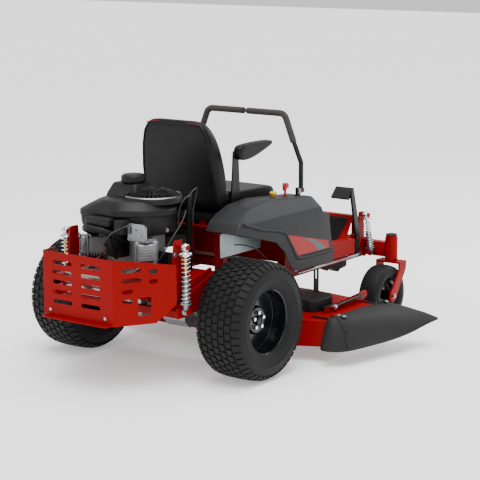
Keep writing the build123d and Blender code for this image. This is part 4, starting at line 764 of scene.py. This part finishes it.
class MOWER_OT_seat(bpy.types.Operator):
    """Makes the padded seat, its seams and the armrests"""
    bl_idname = "mower.seat"
    bl_label = "Seat"

    def execute(self, context):
        bm = bmesh.new()
        puffed(bm, CUSHION_OUTLINE, -241, 241, 1.008)
        cushion = subdivided(piece("seat_cushion_cover", bm, "vinyl", "seat", replaces=("seat_cushion",)))
        bm = bmesh.new()
        capped_loft(bm, [rounded_loop((-half, back), (half, front), corner, z)
                         for z, half, back, front, corner in SEAT_BACK_ROWS])
        rest = subdivided(piece("seat_back_cover", bm, "vinyl", "seat", replaces=("seat_back",)))
        bm = bmesh.new()
        for sign in (-1, 1):
            seam = [at(sign * (half - 20), back - 0.5, z) for z, half, back, _, _ in SEAT_BACK_ROWS[1:8]]
            swept_tube(bm, seam, 0.0028, 8)
        across = [at(x, 84.5, 1193) for x in (-168, -110, 0, 110, 168)]
        swept_tube(bm, across, 0.0028, 8)
        piece("seat_back_piping", bm, "vinyl", "seat")
        bm = bmesh.new()
        for sign in (-1, 1):
            for n in range(7):
                start = at(sign * (150 - n * 9), 84.4, 1199 + n * 0.7)
                rod_between(bm, start, start + at(-sign * 6, -0.6, 0.6), 0.0011, 6)
        piece("seat_stitches", bm, "thread_red", "seat")
        for side, sign in SIDES:
            bm = bmesh.new()
            low, high = sorted((sign * 261.5, sign * 312.5))
            puffed(bm, ARMREST_OUTLINE, low, high, 1.0)
            rest = subdivided(piece(f"armrest_cover_{side}", bm, "vinyl", f"armrest_{side}",
                                    replaces=(f"armrest_{side}",)))
        bm = bmesh.new()
        for sign in (-1, 1):
            hex_head(bm, at(sign * 252.5, 265, 1032), (sign, 0, 0), 0.010, 0.005)
            hex_head(bm, at(sign * 252.5, 265, 790), (sign, 0, 0), 0.008, 0.005)
        piece("seat_bolts", bm, "bare_steel", "seat")
        return {"FINISHED"}


# The levers' plane and corners in millimetres, the corners as (x, z), and their grips in metres.
LEVER_Y = 699.5
LEVER_BEND_RADIUS = 0.042
GRIP_START_Z = 1.055
GRIP_DROP = Vector((0, 0, 0.004))
LEVER_BENDS = ((350, 824), (350, 955), (303, 1062), (246, 1205), (14, 1205))


class MOWER_OT_lever_grips(bpy.types.Operator):
    """Makes the foam grips on the two levers, with their end caps and pivot bolts"""
    bl_idname = "mower.lever_grips"
    bl_label = "Lever grips"

    def execute(self, context):
        for side, sign in SIDES:
            route = rounded_route([at(sign * x, LEVER_Y, z) for x, z in LEVER_BENDS], LEVER_BEND_RADIUS)
            held = [p - GRIP_DROP for p in route if p.z > GRIP_START_Z]
            bm = bmesh.new()
            swept_tube(bm, held, context.scene.mower_sizes.grip_radius, 24)
            grip = piece(f"grip_{side}", bm, "foam", f"lever_{side}", smooth=60)
            bevelled(grip, 0.002, 2, 60)
            bm = bmesh.new()
            swept_tube(bm, [held[-1] + Vector((sign * 0.001, 0, 0)), held[-1] - Vector((sign * 0.004, 0, 0))],
                       0.0150, 24)
            piece(f"grip_cap_{side}", bm, "black_plastic", f"lever_{side}")
            bm = bmesh.new()
            for z in (650, 812):
                hex_head(bm, at(sign * 357.5, 672, z), (sign, 0, 0), 0.009, 0.006)
            piece(f"control_bolts_{side}", bm, "bare_steel", f"control_{side}")
        return {"FINISHED"}


# The hood's levels: height in millimetres, scale, and how much of its lobes shows.
HOOD_ROWS = ((796, 0.975, 1.0), (800, 1.0, 1.0), (826, 0.99, 1.0), (850, 0.90, 0.78), (866, 0.80, 0.5),
             (872, 0.66, 0.2), (873, 0.4, 0.0))


def hood_radius(angle, lobes):
    """Radius of the hood in millimetres, with a pointed lobe at the left rear and a full one at the right."""
    left = (angle + radians(144) + pi) % (2 * pi) - pi
    near = (angle + radians(84) + pi) % (2 * pi) - pi
    right = (angle - radians(12) + pi) % (2 * pi) - pi
    return 184 + lobes * (86 * math.exp(-(left / 0.42) ** 2) + 12 * math.exp(-(near / 0.3) ** 2)
                          + 26 * math.exp(-(right / 0.8) ** 2))


HOOD_POINTS = 60
HOOD_CENTRE_Y = -215
KNOB_RIBS, KNOB_RIB_CIRCLE = 26, 56.5
DOME_SPOKES = 36
DOME_PLACE = (72, -166, 0)
SPOKE_LINE = ((0.134, 0.876), (0.112, 0.889), (0.08, 0.904), (0.04, 0.915))


class MOWER_OT_engine_covers(bpy.types.Operator):
    """Makes the engine's hood, its air cleaner box, the ribbed knob and the spoked dome"""
    bl_idname = "mower.engine_covers"
    bl_label = "Engine covers"

    def execute(self, context):
        bm = bmesh.new()
        rows = []
        for z, scale, lobes in HOOD_ROWS:
            row = []
            for n in range(HOOD_POINTS):
                angle = 2 * pi * n / HOOD_POINTS
                r = hood_radius(angle, lobes) * scale
                fall = 0.16 * max(0.0, hood_radius(angle, lobes) - 190) * (1.5 if z > 840 else 1.0)
                row.append(at(r * cos(angle), HOOD_CENTRE_Y + r * sin(angle), z - fall))
            rows.append(row)
        capped_loft(bm, rows)
        bevelled(piece("engine_hood", bm, "black_plastic", "chassis", smooth=22), 0.003, 2, 22)
        bm = bmesh.new()
        capped_loft(bm, [rounded_loop((-r + 18, -205 - r), (r + 18, -205 + r), r * 0.82, z, 8) for z, r in (
            (701, 150), (704, 162), (712, 166), (760, 168), (806, 170))])
        piece("blower_drum", bm, "black_plastic", "chassis", smooth=40)
        bm = bmesh.new()
        capped_loft(bm, [rounded_loop(low, high, corner, z, 4) for low, high, corner, z in (
            ((-176, -392), (-60, -230), 26, 704), ((-196, -404), (-60, -230), 30, 752),
            ((-206, -400), (-60, -230), 30, 798))])
        solid_box(bm, at(-120, -452, 752), at(30, -350, 796), 0.012, 3)
        solid_box(bm, at(40, -432, 716), at(96, -350, 790), 0.010, 3)
        piece("hood_underside", bm, "black_plastic", "chassis", smooth=40)
        bm = bmesh.new()
        capped_loft(bm, [rounded_loop(low, high, corner, z, 5) for low, high, corner, z in (
            ((-156, -268), (44, -104), 30, 862), ((-150, -262), (40, -110), 28, 884),
            ((-128, -246), (30, -122), 24, 924), ((-122, -240), (26, -128), 20, 931),
            ((-112, -230), (18, -136), 14, 934))])
        box = piece("air_cleaner_box", bm, "black_plastic", "chassis", replaces=("air_cleaner",), smooth=40)
        bevelled(box, 0.003, 3, 25)
        bm = bmesh.new()
        lathe(bm, [(0.0, 0.0), (0.0, 0.050), (0.006, 0.057), (0.030, 0.058), (0.039, 0.052), (0.043, 0.03),
                   (0.042, 0.0), (0.0, 0.0)], at(-30, -190, 934), (0, 0, 1), 96)
        for n in range(KNOB_RIBS):
            angle = 2 * pi * n / KNOB_RIBS
            base = at(-30 + KNOB_RIB_CIRCLE * cos(angle), -190 + KNOB_RIB_CIRCLE * sin(angle), 940)
            rod_between(bm, base, base + Vector((0, 0, 0.026)), 0.0034, 8)
        knob = piece("air_cleaner_knob", bm, "black_plastic", "chassis", smooth=50)
        bevelled(knob, 0.001, 1, 40)
        bm = bmesh.new()
        centre = at(*DOME_PLACE)
        lathe(bm, [(0.85, 0.0), (0.85, 0.146), (0.872, 0.146), (0.878, 0.141), (0.878, 0.136), (0.87, 0.132),
                   (0.862, 0.128), (0.862, 0.0), (0.85, 0.0)], centre, (0, 0, 1), 96)
        for n in range(DOME_SPOKES):
            angle = 2 * pi * n / DOME_SPOKES
            ray = Vector((cos(angle), sin(angle), 0))
            swept_tube(bm, [centre + ray * r + Vector((0, 0, z)) for r, z in SPOKE_LINE], 0.0027, 6)
        for r, z in ((0.100, 0.895), (0.066, 0.909)):
            lathe(bm, [(z - 0.0025, r - 0.0025), (z + 0.0025, r - 0.0025), (z + 0.0025, r + 0.0025),
                       (z - 0.0025, r + 0.0025), (z - 0.0025, r - 0.0025)], centre, (0, 0, 1), 72)
        lathe(bm, [(0.908, 0.0), (0.908, 0.044), (0.919, 0.038), (0.923, 0.0), (0.908, 0.0)], centre,
              (0, 0, 1), 48)
        piece("engine_dome", bm, "black_plastic", "chassis", replaces=("blower_housing",), smooth=50)
        bm = bmesh.new()
        lathe(bm, [(0.8785, 0.132), (0.883, 0.1365), (0.8785, 0.1425), (0.874, 0.1365), (0.8785, 0.132)],
              centre, (0, 0, 1), 96)
        piece("engine_dome_ring", bm, "bare_steel", "chassis", smooth=80)
        bm = bmesh.new()
        prism(bm, [at(-52, -280, 878), at(-20, -286, 876), at(4, -276, 890), at(-2, -264, 900),
                   at(-40, -266, 896)], at(0, 8, 4), 0.002, 2)
        piece("cleaner_latch", bm, "rim_paint", "chassis")
        return {"FINISHED"}


# Control points in millimetres of the fixed tubes and leads on the engine.
INTAKE_ROUTES = (
    ((-150, -330, 690), (-142, -420, 726), (-104, -462, 748), (-50, -458, 738), (-6, -440, 736),
     (28, -410, 716), (40, -360, 680)),
    ((-60, -330, 720), (-30, -400, 722), (6, -430, 700), (20, -420, 640), (10, -370, 600)),
)
ENGINE_LEAD_ROUTES = (
    ((-150, -330, 700), (-172, -398, 660), (-150, -430, 600), (-90, -440, 560), (-60, -400, 540)),
    ((120, -400, 770), (60, -455, 740), (20, -458, 700), (-20, -440, 660), (-30, -380, 650)),
    ((190, -60, 800), (214, -110, 760), (210, -190, 690), (190, -230, 620), (150, -240, 560)),
)
INTAKE_RADIUS = 0.0175
LEAD_RADIUS = 0.0034


class MOWER_OT_engine_details(bpy.types.Operator):
    """Adds the engine's bolts, bracket, intake tubes, leads and valve cover ribs"""
    bl_idname = "mower.engine_details"
    bl_label = "Engine details"

    def execute(self, context):
        bm = bmesh.new()
        for angle in range(0, 360, 40):
            spot = at(18 + 167 * cos(radians(angle)), -205 + 167 * sin(radians(angle)), 722)
            hex_head(bm, spot, (cos(radians(angle)), sin(radians(angle)), 0), 0.0075, 0.006)
        piece("hood_bolts", bm, "bare_steel", "chassis")
        bm = bmesh.new()
        prism(bm, [at(x, -392, z) for x, z in ((98, 690), (214, 690), (214, 762), (196, 776), (110, 776),
                                               (98, 764))], at(0, 4, 0), 0.001, 1)
        solid_box(bm, at(98, -392, 690), at(214, -340, 694), 0.001, 1)
        plate = piece("engine_bracket_plate", bm, "zinc", "chassis")
        bevelled(plate, 0.0008, 1)
        bm = bmesh.new()
        solid_box(bm, at(116, -394, 728), at(123, -391.6, 760), 0.002)
        solid_box(bm, at(146, -394, 744), at(156, -391.6, 750), 0.002)
        piece("engine_bracket_slots", bm, "black_steel", "chassis")
        bm = bmesh.new()
        for x, z in ((108, 702), (204, 702), (200, 764), (176, 722)):
            hex_head(bm, at(x, -392, z), (0, -1, 0), 0.007, 0.005)
        piece("engine_bracket_bolts", bm, "bare_steel", "chassis")
        for n, route in enumerate(INTAKE_ROUTES):
            tube_curve(f"intake_tube_{n}", route, INTAKE_RADIUS - n * 0.003, "black_plastic", "chassis")
        for n, route in enumerate(ENGINE_LEAD_ROUTES):
            tube_curve(f"engine_lead_{n}", route, LEAD_RADIUS, "cable_grey", "chassis")
        bm = bmesh.new()
        for _, sign in SIDES:
            out = Vector((sign * 0.77, -0.64, 0)).normalized()
            across = Vector((0, 0, 1)).cross(out)
            face = Vector((0, -0.215, 0.64)) + out * 0.2705
            for row in (-2, -1, 0, 1, 2):
                start = face + Vector((0, 0, row * 0.012 - 0.006))
                rod_between(bm, start - across * 0.03, start + across * 0.03, 0.0022, 8)
            for dz in (-0.045, 0.045):
                for da in (-0.04, 0.04):
                    hex_head(bm, face + across * da + Vector((0, 0, dz)) - out * 0.002, out, 0.006, 0.005)
        piece("valve_cover_ribs", bm, "cast_aluminium", "chassis")
        return {"FINISHED"}


class MOWER_OT_guard_details(bpy.types.Operator):
    """Adds the bolts of the guard and frame, and the shocks' eyes and sleeves"""
    bl_idname = "mower.guard_details"
    bl_label = "Guard details"

    def execute(self, context):
        bm = bmesh.new()
        for sign in (-1, 1):
            hex_head(bm, at(sign * 170, -641, 372), (0, -1, 0), 0.0085, 0.006)
            hex_head(bm, at(sign * 374, -317, 366), (0, -1, 0), 0.011, 0.007)
            for y in (-330, -280):
                hex_head(bm, at(sign * 334, y, 640), (sign, 0, 0), 0.009, 0.006)
            for y in (-380, -180, -80):
                hex_head(bm, at(sign * 321, y, 462), (sign, 0, 0), 0.009, 0.006)
            for y in (100, 260, 700, 860, 1190, 1300):
                hex_head(bm, at(sign * 321, y, 392), (sign, 0, 0), 0.010, 0.006)
        piece("frame_bolts", bm, "bare_steel", "chassis")
        bm = bmesh.new()
        for sign in (-1, 1):
            lathe(bm, [(-0.014, 0.0), (-0.014, 0.016), (-0.006, 0.0205), (0.006, 0.0205), (0.014, 0.016),
                       (0.014, 0.0), (-0.014, 0.0)], at(sign * SHOCK_X, SHOCK_Y, 675), (1, 0, 0), 32)
            lathe(bm, [(0.0, 0.0), (0.0, 0.029), (0.006, 0.031), (0.014, 0.031), (0.019, 0.026), (0.019, 0.0),
                       (0.0, 0.0)], at(sign * SHOCK_X, SHOCK_Y, 636), (0, 0, 1), 48)
            lathe(bm, [(-0.013, 0.0), (-0.013, 0.015), (-0.006, 0.0195), (0.006, 0.0195), (0.013, 0.015),
                       (0.013, 0.0), (-0.013, 0.0)], at(sign * 358, 1331, 588), (1, 0, 0), 32)
        piece("shock_eyes", bm, "chrome", "chassis", smooth=60)
        bm = bmesh.new()
        for sign in (-1, 1):
            rod_between(bm, at(sign * SHOCK_X, SHOCK_Y, 560), at(sign * SHOCK_X, SHOCK_Y, 634), 0.0115)
        sleeves = piece("shock_sleeves", bm, "gold_rod", "chassis")
        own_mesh(sleeves)
        return {"FINISHED"}


CHUTE_STEPS = 8
CHUTE_WALL = 0.006
CHUTE_ROWS = (
    # plan of the hinge side, plan of the lower edge, top and bottom heights, and how late the roof falls
    ((704, 418), (702, 348), 232, 84, 1.0), ((712, 420), (738, 358), 236, 82, 1.5),
    ((716, 428), (786, 384), 237, 81, 1.8), ((718, 446), (820, 430), 237, 81, 2.0),
    ((718, 520), (846, 530), 237, 82, 2.2), ((718, 620), (872, 636), 237, 84, 2.3),
    ((718, 720), (896, 738), 236, 88, 2.3), ((718, 820), (918, 832), 233, 97, 2.1),
    ((720, 900), (938, 910), 228, 113, 1.8), ((746, 954), (956, 968), 217, 131, 1.4),
    ((790, 984), (974, 1010), 203, 143, 1.1), ((826, 1000), (984, 1038), 192, 147, 1.0),
    ((846, 1010), (976, 1050), 185, 149, 1.0),
)


class MOWER_OT_chute(bpy.types.Operator):
    """Makes the discharge chute: a bent rubber sheet with its seams, straps and bolts"""
    bl_idname = "mower.chute"
    bl_label = "Discharge chute"

    def execute(self, context):
        rows = []
        for (hx, hy), (ex, ey), top, bottom, late in CHUTE_ROWS:
            row = []
            for n in range(CHUTE_STEPS + 1):
                share = n / CHUTE_STEPS
                row.append(at(hx + (ex - hx) * share ** 0.8, hy + (ey - hy) * share,
                              top - (top - bottom) * share ** (late * 1.25)))
            rows.append(row)
        bm = bmesh.new()
        ribbon(bm, rows)
        sheet = piece("chute_sheet", bm, "chute_rubber", "chute", replaces=("discharge_chute",), smooth=60)
        subdivided(sheet, 1)
        thickened(sheet, CHUTE_WALL, 0.0)
        bm = bmesh.new()
        swept_tube(bm, [p + Vector((0.001, -0.001, 0.003)) for p in rows[3]], 0.0035, 8, 0.5)
        seam = [at(742, y, 236.5 - max(0, y - 820) * 0.06) for y in (452, 560, 700, 820, 930)]
        swept_tube(bm, seam, 0.003, 8, 0.5)
        piece("chute_seams", bm, "chute_rubber", "chute")
        bm = bmesh.new()
        for low, high in (((714, 470, 236), (772, 494, 240)), ((714, 880, 234), (770, 904, 238))):
            solid_box(bm, at(*low), at(*high), 0.0015, 1)
        solid_box(bm, at(728, 442, 170), at(800, 444, 182), 0.001, 1)
        piece("chute_straps", bm, "black_steel", "chute")
        bm = bmesh.new()
        for x, y, z in ((756, 482, 240), (756, 892, 238), (726, 482, 240)):
            hex_head(bm, at(x, y, z), (0, 0, 1), 0.0095, 0.006)
        piece("chute_bolts", bm, "bare_steel", "chute")
        return {"FINISHED"}


# The three spindles' places and the circle of their bolts, in millimetres.
SPINDLES = ((-428, 650), (7, 758), (442, 650))
SPINDLE_BOLTS, SPINDLE_BOLT_CIRCLE = 6, 88


class MOWER_OT_deck_details(bpy.types.Operator):
    """Adds the deck's bolts, side plates, adjusting rods and clevises, and the lift brackets"""
    bl_idname = "mower.deck_details"
    bl_label = "Deck details"

    def execute(self, context):
        bm = bmesh.new()
        for x, y in SPINDLES:
            for n in range(SPINDLE_BOLTS):
                angle = 2 * pi * n / SPINDLE_BOLTS
                place = at(x + SPINDLE_BOLT_CIRCLE * cos(angle), y + SPINDLE_BOLT_CIRCLE * sin(angle), 214.5)
                hex_head(bm, place, (0, 0, 1), 0.007, 0.005)
        for x in (-200, 220):
            hex_head(bm, at(x, 1000.5, 150), (0, 1, 0), 0.007, 0.004)
        for y in (458, 540):
            hex_head(bm, at(684, y, 196), (1, 0, 0), 0.009, 0.005)
        piece("deck_bolts", bm, "bare_steel", "deck")
        bm = bmesh.new()
        for _, sign in SIDES:
            prism(bm, [at(sign * 586, y, z) for y, z in (
                (560, 215), (560, 236), (640, 246), (880, 262), (946, 268), (966, 262), (974, 248),
                (970, 232), (950, 222), (900, 215))], Vector((sign * 0.005, 0, 0)), 0.0012, 1)
        piece("deck_side_plates", bm, "red_paint", "deck")
        bm = bmesh.new()
        for _, sign in SIDES:
            rod_between(bm, at(sign * 604, 640, 240), at(sign * 604, 880, 250), 0.0065, 16)
            rod_between(bm, at(sign * 591, 884, 250), at(sign * 612, 884, 250), 0.008, 16)
        piece("deck_adjusting_rods", bm, "black_steel", "deck")
        bm = bmesh.new()
        for _, sign in SIDES:
            solid_box(bm, at(sign * 604 - 9, 614, 231), at(sign * 604 + 9, 642, 249), 0.003, 2)
            rod_between(bm, at(sign * 591, 624, 240), at(sign * 622, 624, 240), 0.006, 16)
            hex_head(bm, at(sign * 616, 624, 240), (sign, 0, 0), 0.010, 0.006)
        piece("deck_clevises", bm, "chrome", "deck")
        bm = bmesh.new()
        for _, sign in SIDES:
            prism(bm, [at(sign * 286, y, z) for y, z in (
                (980, 349), (980, 338), (1016, 322), (1030, 334), (1060, 330), (1072, 314), (1120, 300),
                (1140, 312), (1200, 318), (1206, 349))], Vector((sign * 0.03, 0, 0)), 0.0015, 1)
        piece("lift_brackets", bm, "black_steel", "chassis")
        return {"FINISHED"}


# The lower and upper edges of the toe board's face, and the ribs of its mat, in metres.
TOE_BOARD_FOOT, TOE_BOARD_TOP = Vector((0, 1.1615, 0.4355)), Vector((0, 1.2515, 0.5905))
TOE_RIBS, TOE_RIB_PITCH = 11, 0.0128


class MOWER_OT_front_details(bpy.types.Operator):
    """Adds the toe board's ribbed mat, the swivel caps and the front shocks' lower bolts"""
    bl_idname = "mower.front_details"
    bl_label = "Front details"

    def execute(self, context):
        up = (TOE_BOARD_TOP - TOE_BOARD_FOOT).normalized()
        out = Vector((0, -up.z, up.y))
        bm = bmesh.new()
        base = TOE_BOARD_FOOT + out * 0.001
        prism(bm, [base + up * s + Vector((x, 0, 0)) for x, s in (
            (-0.265, 0.012), (0.265, 0.012), (0.3, 0.155), (0.29, 0.165), (-0.29, 0.165), (-0.3, 0.155))],
            out * 0.004, 0.001, 1)
        for n in range(TOE_RIBS):
            start = base + up * (0.022 + n * TOE_RIB_PITCH) + out * 0.004
            reach = Vector((0.262 + n * 0.003, 0, 0))
            rod_between(bm, start - reach, start + reach, 0.0026, 8)
        piece("toe_mat", bm, "mat_rubber", "chassis")
        for side, sign in SIDES:
            bm = bmesh.new()
            hex_head(bm, at(sign * 412, 1331, 383), (0, -1, 0), 0.010, 0.006)
            lathe(bm, [(0.0, 0.0), (0.0, 0.033), (0.006, 0.030), (0.009, 0.018), (0.010, 0.0), (0.0, 0.0)],
                  at(sign * 487, 1390, 481.5), (0, 0, 1), 40)
            piece(f"swivel_cap_{side}", bm, "black_plastic", f"front_arm_{side}")
        return {"FINISHED"}


class MOWER_OT_throttle_paddle(bpy.types.Operator):
    """Makes the moulded paddle on the throttle lever and the cap of the blade knob"""
    bl_idname = "mower.throttle_paddle"
    bl_label = "Throttle paddle"

    def execute(self, context):
        bm = bmesh.new()
        prism(bm, [at(343, y, z) for y, z in (
            (546, 826), (560, 826), (566, 836), (582, 842), (584, 858), (574, 866), (548, 864), (538, 852),
            (540, 836))], at(14, 0, 0), 0.004, 3)
        piece("throttle_paddle", bm, "red_plastic", "throttle", smooth=50)
        bm = bmesh.new()
        lathe(bm, [(0.0, 0.0), (0.0, 0.012), (0.004, 0.019), (0.010, 0.0195), (0.015, 0.014), (0.017, 0.0),
                   (0.0, 0.0)], at(330, 478, 816), (0, 0, 1), 40)
        piece("blade_knob_cap", bm, "yellow_plastic", "blade_switch", smooth=60)
        return {"FINISHED"}


# Control points in millimetres of the fixed control cables.
CABLE_ROUTES = (
    ((198, -46, 870), (214, -20, 905), (196, 30, 896), (170, 44, 850), (150, 40, 760), (150, 50, 708)),
    ((198, -46, 850), (224, -60, 880), (220, -110, 868), (196, -120, 820), (180, -110, 760), (170, -96, 712)),
    ((300, 70, 640), (330, 130, 610), (332, 220, 600), (332, 330, 560), (326, 420, 500)),
)


class MOWER_OT_cables(bpy.types.Operator):
    """Lays the fixed control cables, and makes the liners of the wheel arches"""
    bl_idname = "mower.cables"
    bl_label = "Cables"

    def execute(self, context):
        radius = context.scene.mower_sizes.cable_radius
        for n, route in enumerate(CABLE_ROUTES):
            tube_curve(f"cable_{n}", route, radius, "cable_grey", "chassis")
        bm = bmesh.new()
        for _, sign in SIDES:
            solid_box(bm, at(sign * 326, 30, 560), at(sign * 329, 370, 680), 0.001, 1)
        piece("arch_liners", bm, "zinc", "chassis")
        return {"FINISHED"}


# Name, place, the point it faces, size across and power of each lamp.
STUDIO_LIGHTS = (
    ("key", (4.5, -3.5, 4.5), (0, 0.3, 0.5), 3.0, 90), ("fill", (-4.5, -4.0, 3.0), (0, 0.3, 0.5), 3.5, 60),
    ("front", (2.0, 5.5, 3.5), (0, 0.3, 0.5), 3.0, 110), ("top", (0, 0.3, 5.5), (0, 0.3, 0), 4.0, 120),
)
FLOOR_GLOW = 0.35
SOFTBOX_POWER, SOFTBOX_SPREAD = 2.4, 35
SKY_STRENGTH = 0.9
CAMERA_PLACE = (4.916, -6.096, 2.151)
CAMERA_TURN = (78.92, 0.18, 36.07)
CAMERA_LENS = 120.3


class MOWER_OT_stage(bpy.types.Operator):
    """Sets the floor, soft studio light and the camera"""
    bl_idname = "mower.stage"
    bl_label = "Stage"

    def execute(self, context):
        scene = context.scene
        bm = bmesh.new()
        bmesh.ops.create_grid(bm, x_segments=2, y_segments=2, size=30)
        mesh = bpy.data.meshes.new("studio_floor")
        bm.to_mesh(mesh)
        bm.free()
        floor = bpy.data.objects.new("studio_floor", mesh)
        floor.location.z = -0.0005
        scene.collection.objects.link(floor)
        paper = finish_material("Studio floor", (0.92, 0.92, 0.92), 0.9, grain=(3.0, 0.0), strength=0.02,
                                mottle=(0.3, 0.02, 0.02))
        glow = paper.node_tree.nodes["Principled BSDF"].inputs
        glow["Emission Color"].default_value = (1, 1, 1, 1)
        glow["Emission Strength"].default_value = FLOOR_GLOW
        mesh.materials.append(paper)
        for name, place, aim, size, power in STUDIO_LIGHTS:
            light = bpy.data.lights.new(name, "AREA")
            light.shape = "DISK"
            light.size = size
            light.energy = power
            lamp = bpy.data.objects.new(name, light)
            lamp.location = place
            lamp.rotation_euler = (Vector(aim) - Vector(place)).to_track_quat("-Z", "Y").to_euler()
            scene.collection.objects.link(lamp)
        sun = bpy.data.lights.new("softbox", "SUN")
        sun.energy = SOFTBOX_POWER
        sun.angle = radians(SOFTBOX_SPREAD)
        lamp = bpy.data.objects.new("softbox", sun)
        lamp.rotation_euler = (radians(18), radians(14), 0)
        scene.collection.objects.link(lamp)
        world = bpy.data.worlds.new("Studio")
        world.use_nodes = True
        sky = world.node_tree.nodes["Background"].inputs
        sky["Color"].default_value = (1, 1, 1, 1)
        sky["Strength"].default_value = SKY_STRENGTH
        scene.world = world
        data = bpy.data.cameras.new("camera")
        data.lens = CAMERA_LENS
        data.sensor_width = 36
        data.dof.use_dof = False
        camera = bpy.data.objects.new("camera", data)
        camera.location = CAMERA_PLACE
        camera.rotation_euler = [radians(turn) for turn in CAMERA_TURN]
        scene.collection.objects.link(camera)
        scene.camera = camera
        return {"FINISHED"}


OPERATORS = (
    MOWER_OT_stage, MOWER_OT_frame_parts, MOWER_OT_springs, MOWER_OT_rear_tyres, MOWER_OT_wheel_fittings,
    MOWER_OT_fenders, MOWER_OT_seat, MOWER_OT_lever_grips, MOWER_OT_engine_covers, MOWER_OT_engine_details,
    MOWER_OT_guard_details, MOWER_OT_chute, MOWER_OT_deck_details, MOWER_OT_front_details,
    MOWER_OT_throttle_paddle, MOWER_OT_cables,
)


class MOWER_PT_panel(bpy.types.Panel):
    """The pieces of the mower, in the order in which they are made"""
    bl_label = "Mower"
    bl_idname = "MOWER_PT_panel"
    bl_space_type = "VIEW_3D"
    bl_region_type = "UI"
    bl_category = "Mower"

    def draw(self, context):
        for group in (context.scene.mower_sizes, context.scene.mower_colours):
            for name in group.bl_rna.properties.keys():
                if name not in ("rna_type", "name"):
                    self.layout.prop(group, name)
        for operator in OPERATORS:
            self.layout.operator(operator.bl_idname)


CLASSES = (MowerSizes, MowerColours, *OPERATORS, MOWER_PT_panel)


def register():
    for kind in CLASSES:
        bpy.utils.register_class(kind)
    bpy.types.Scene.mower_sizes = PointerProperty(type=MowerSizes)
    bpy.types.Scene.mower_colours = PointerProperty(type=MowerColours)


def unregister():
    del bpy.types.Scene.mower_colours
    del bpy.types.Scene.mower_sizes
    for kind in reversed(CLASSES):
        bpy.utils.unregister_class(kind)


def main():
    register()
    make_materials(bpy.context.scene.mower_colours)
    for operator in OPERATORS:
        group, name = operator.bl_idname.split(".")
        if getattr(getattr(bpy.ops, group), name)() != {"FINISHED"}:
            raise RuntimeError(f"{operator.bl_label} wasn't made")


if __name__ == "__main__":
    main()
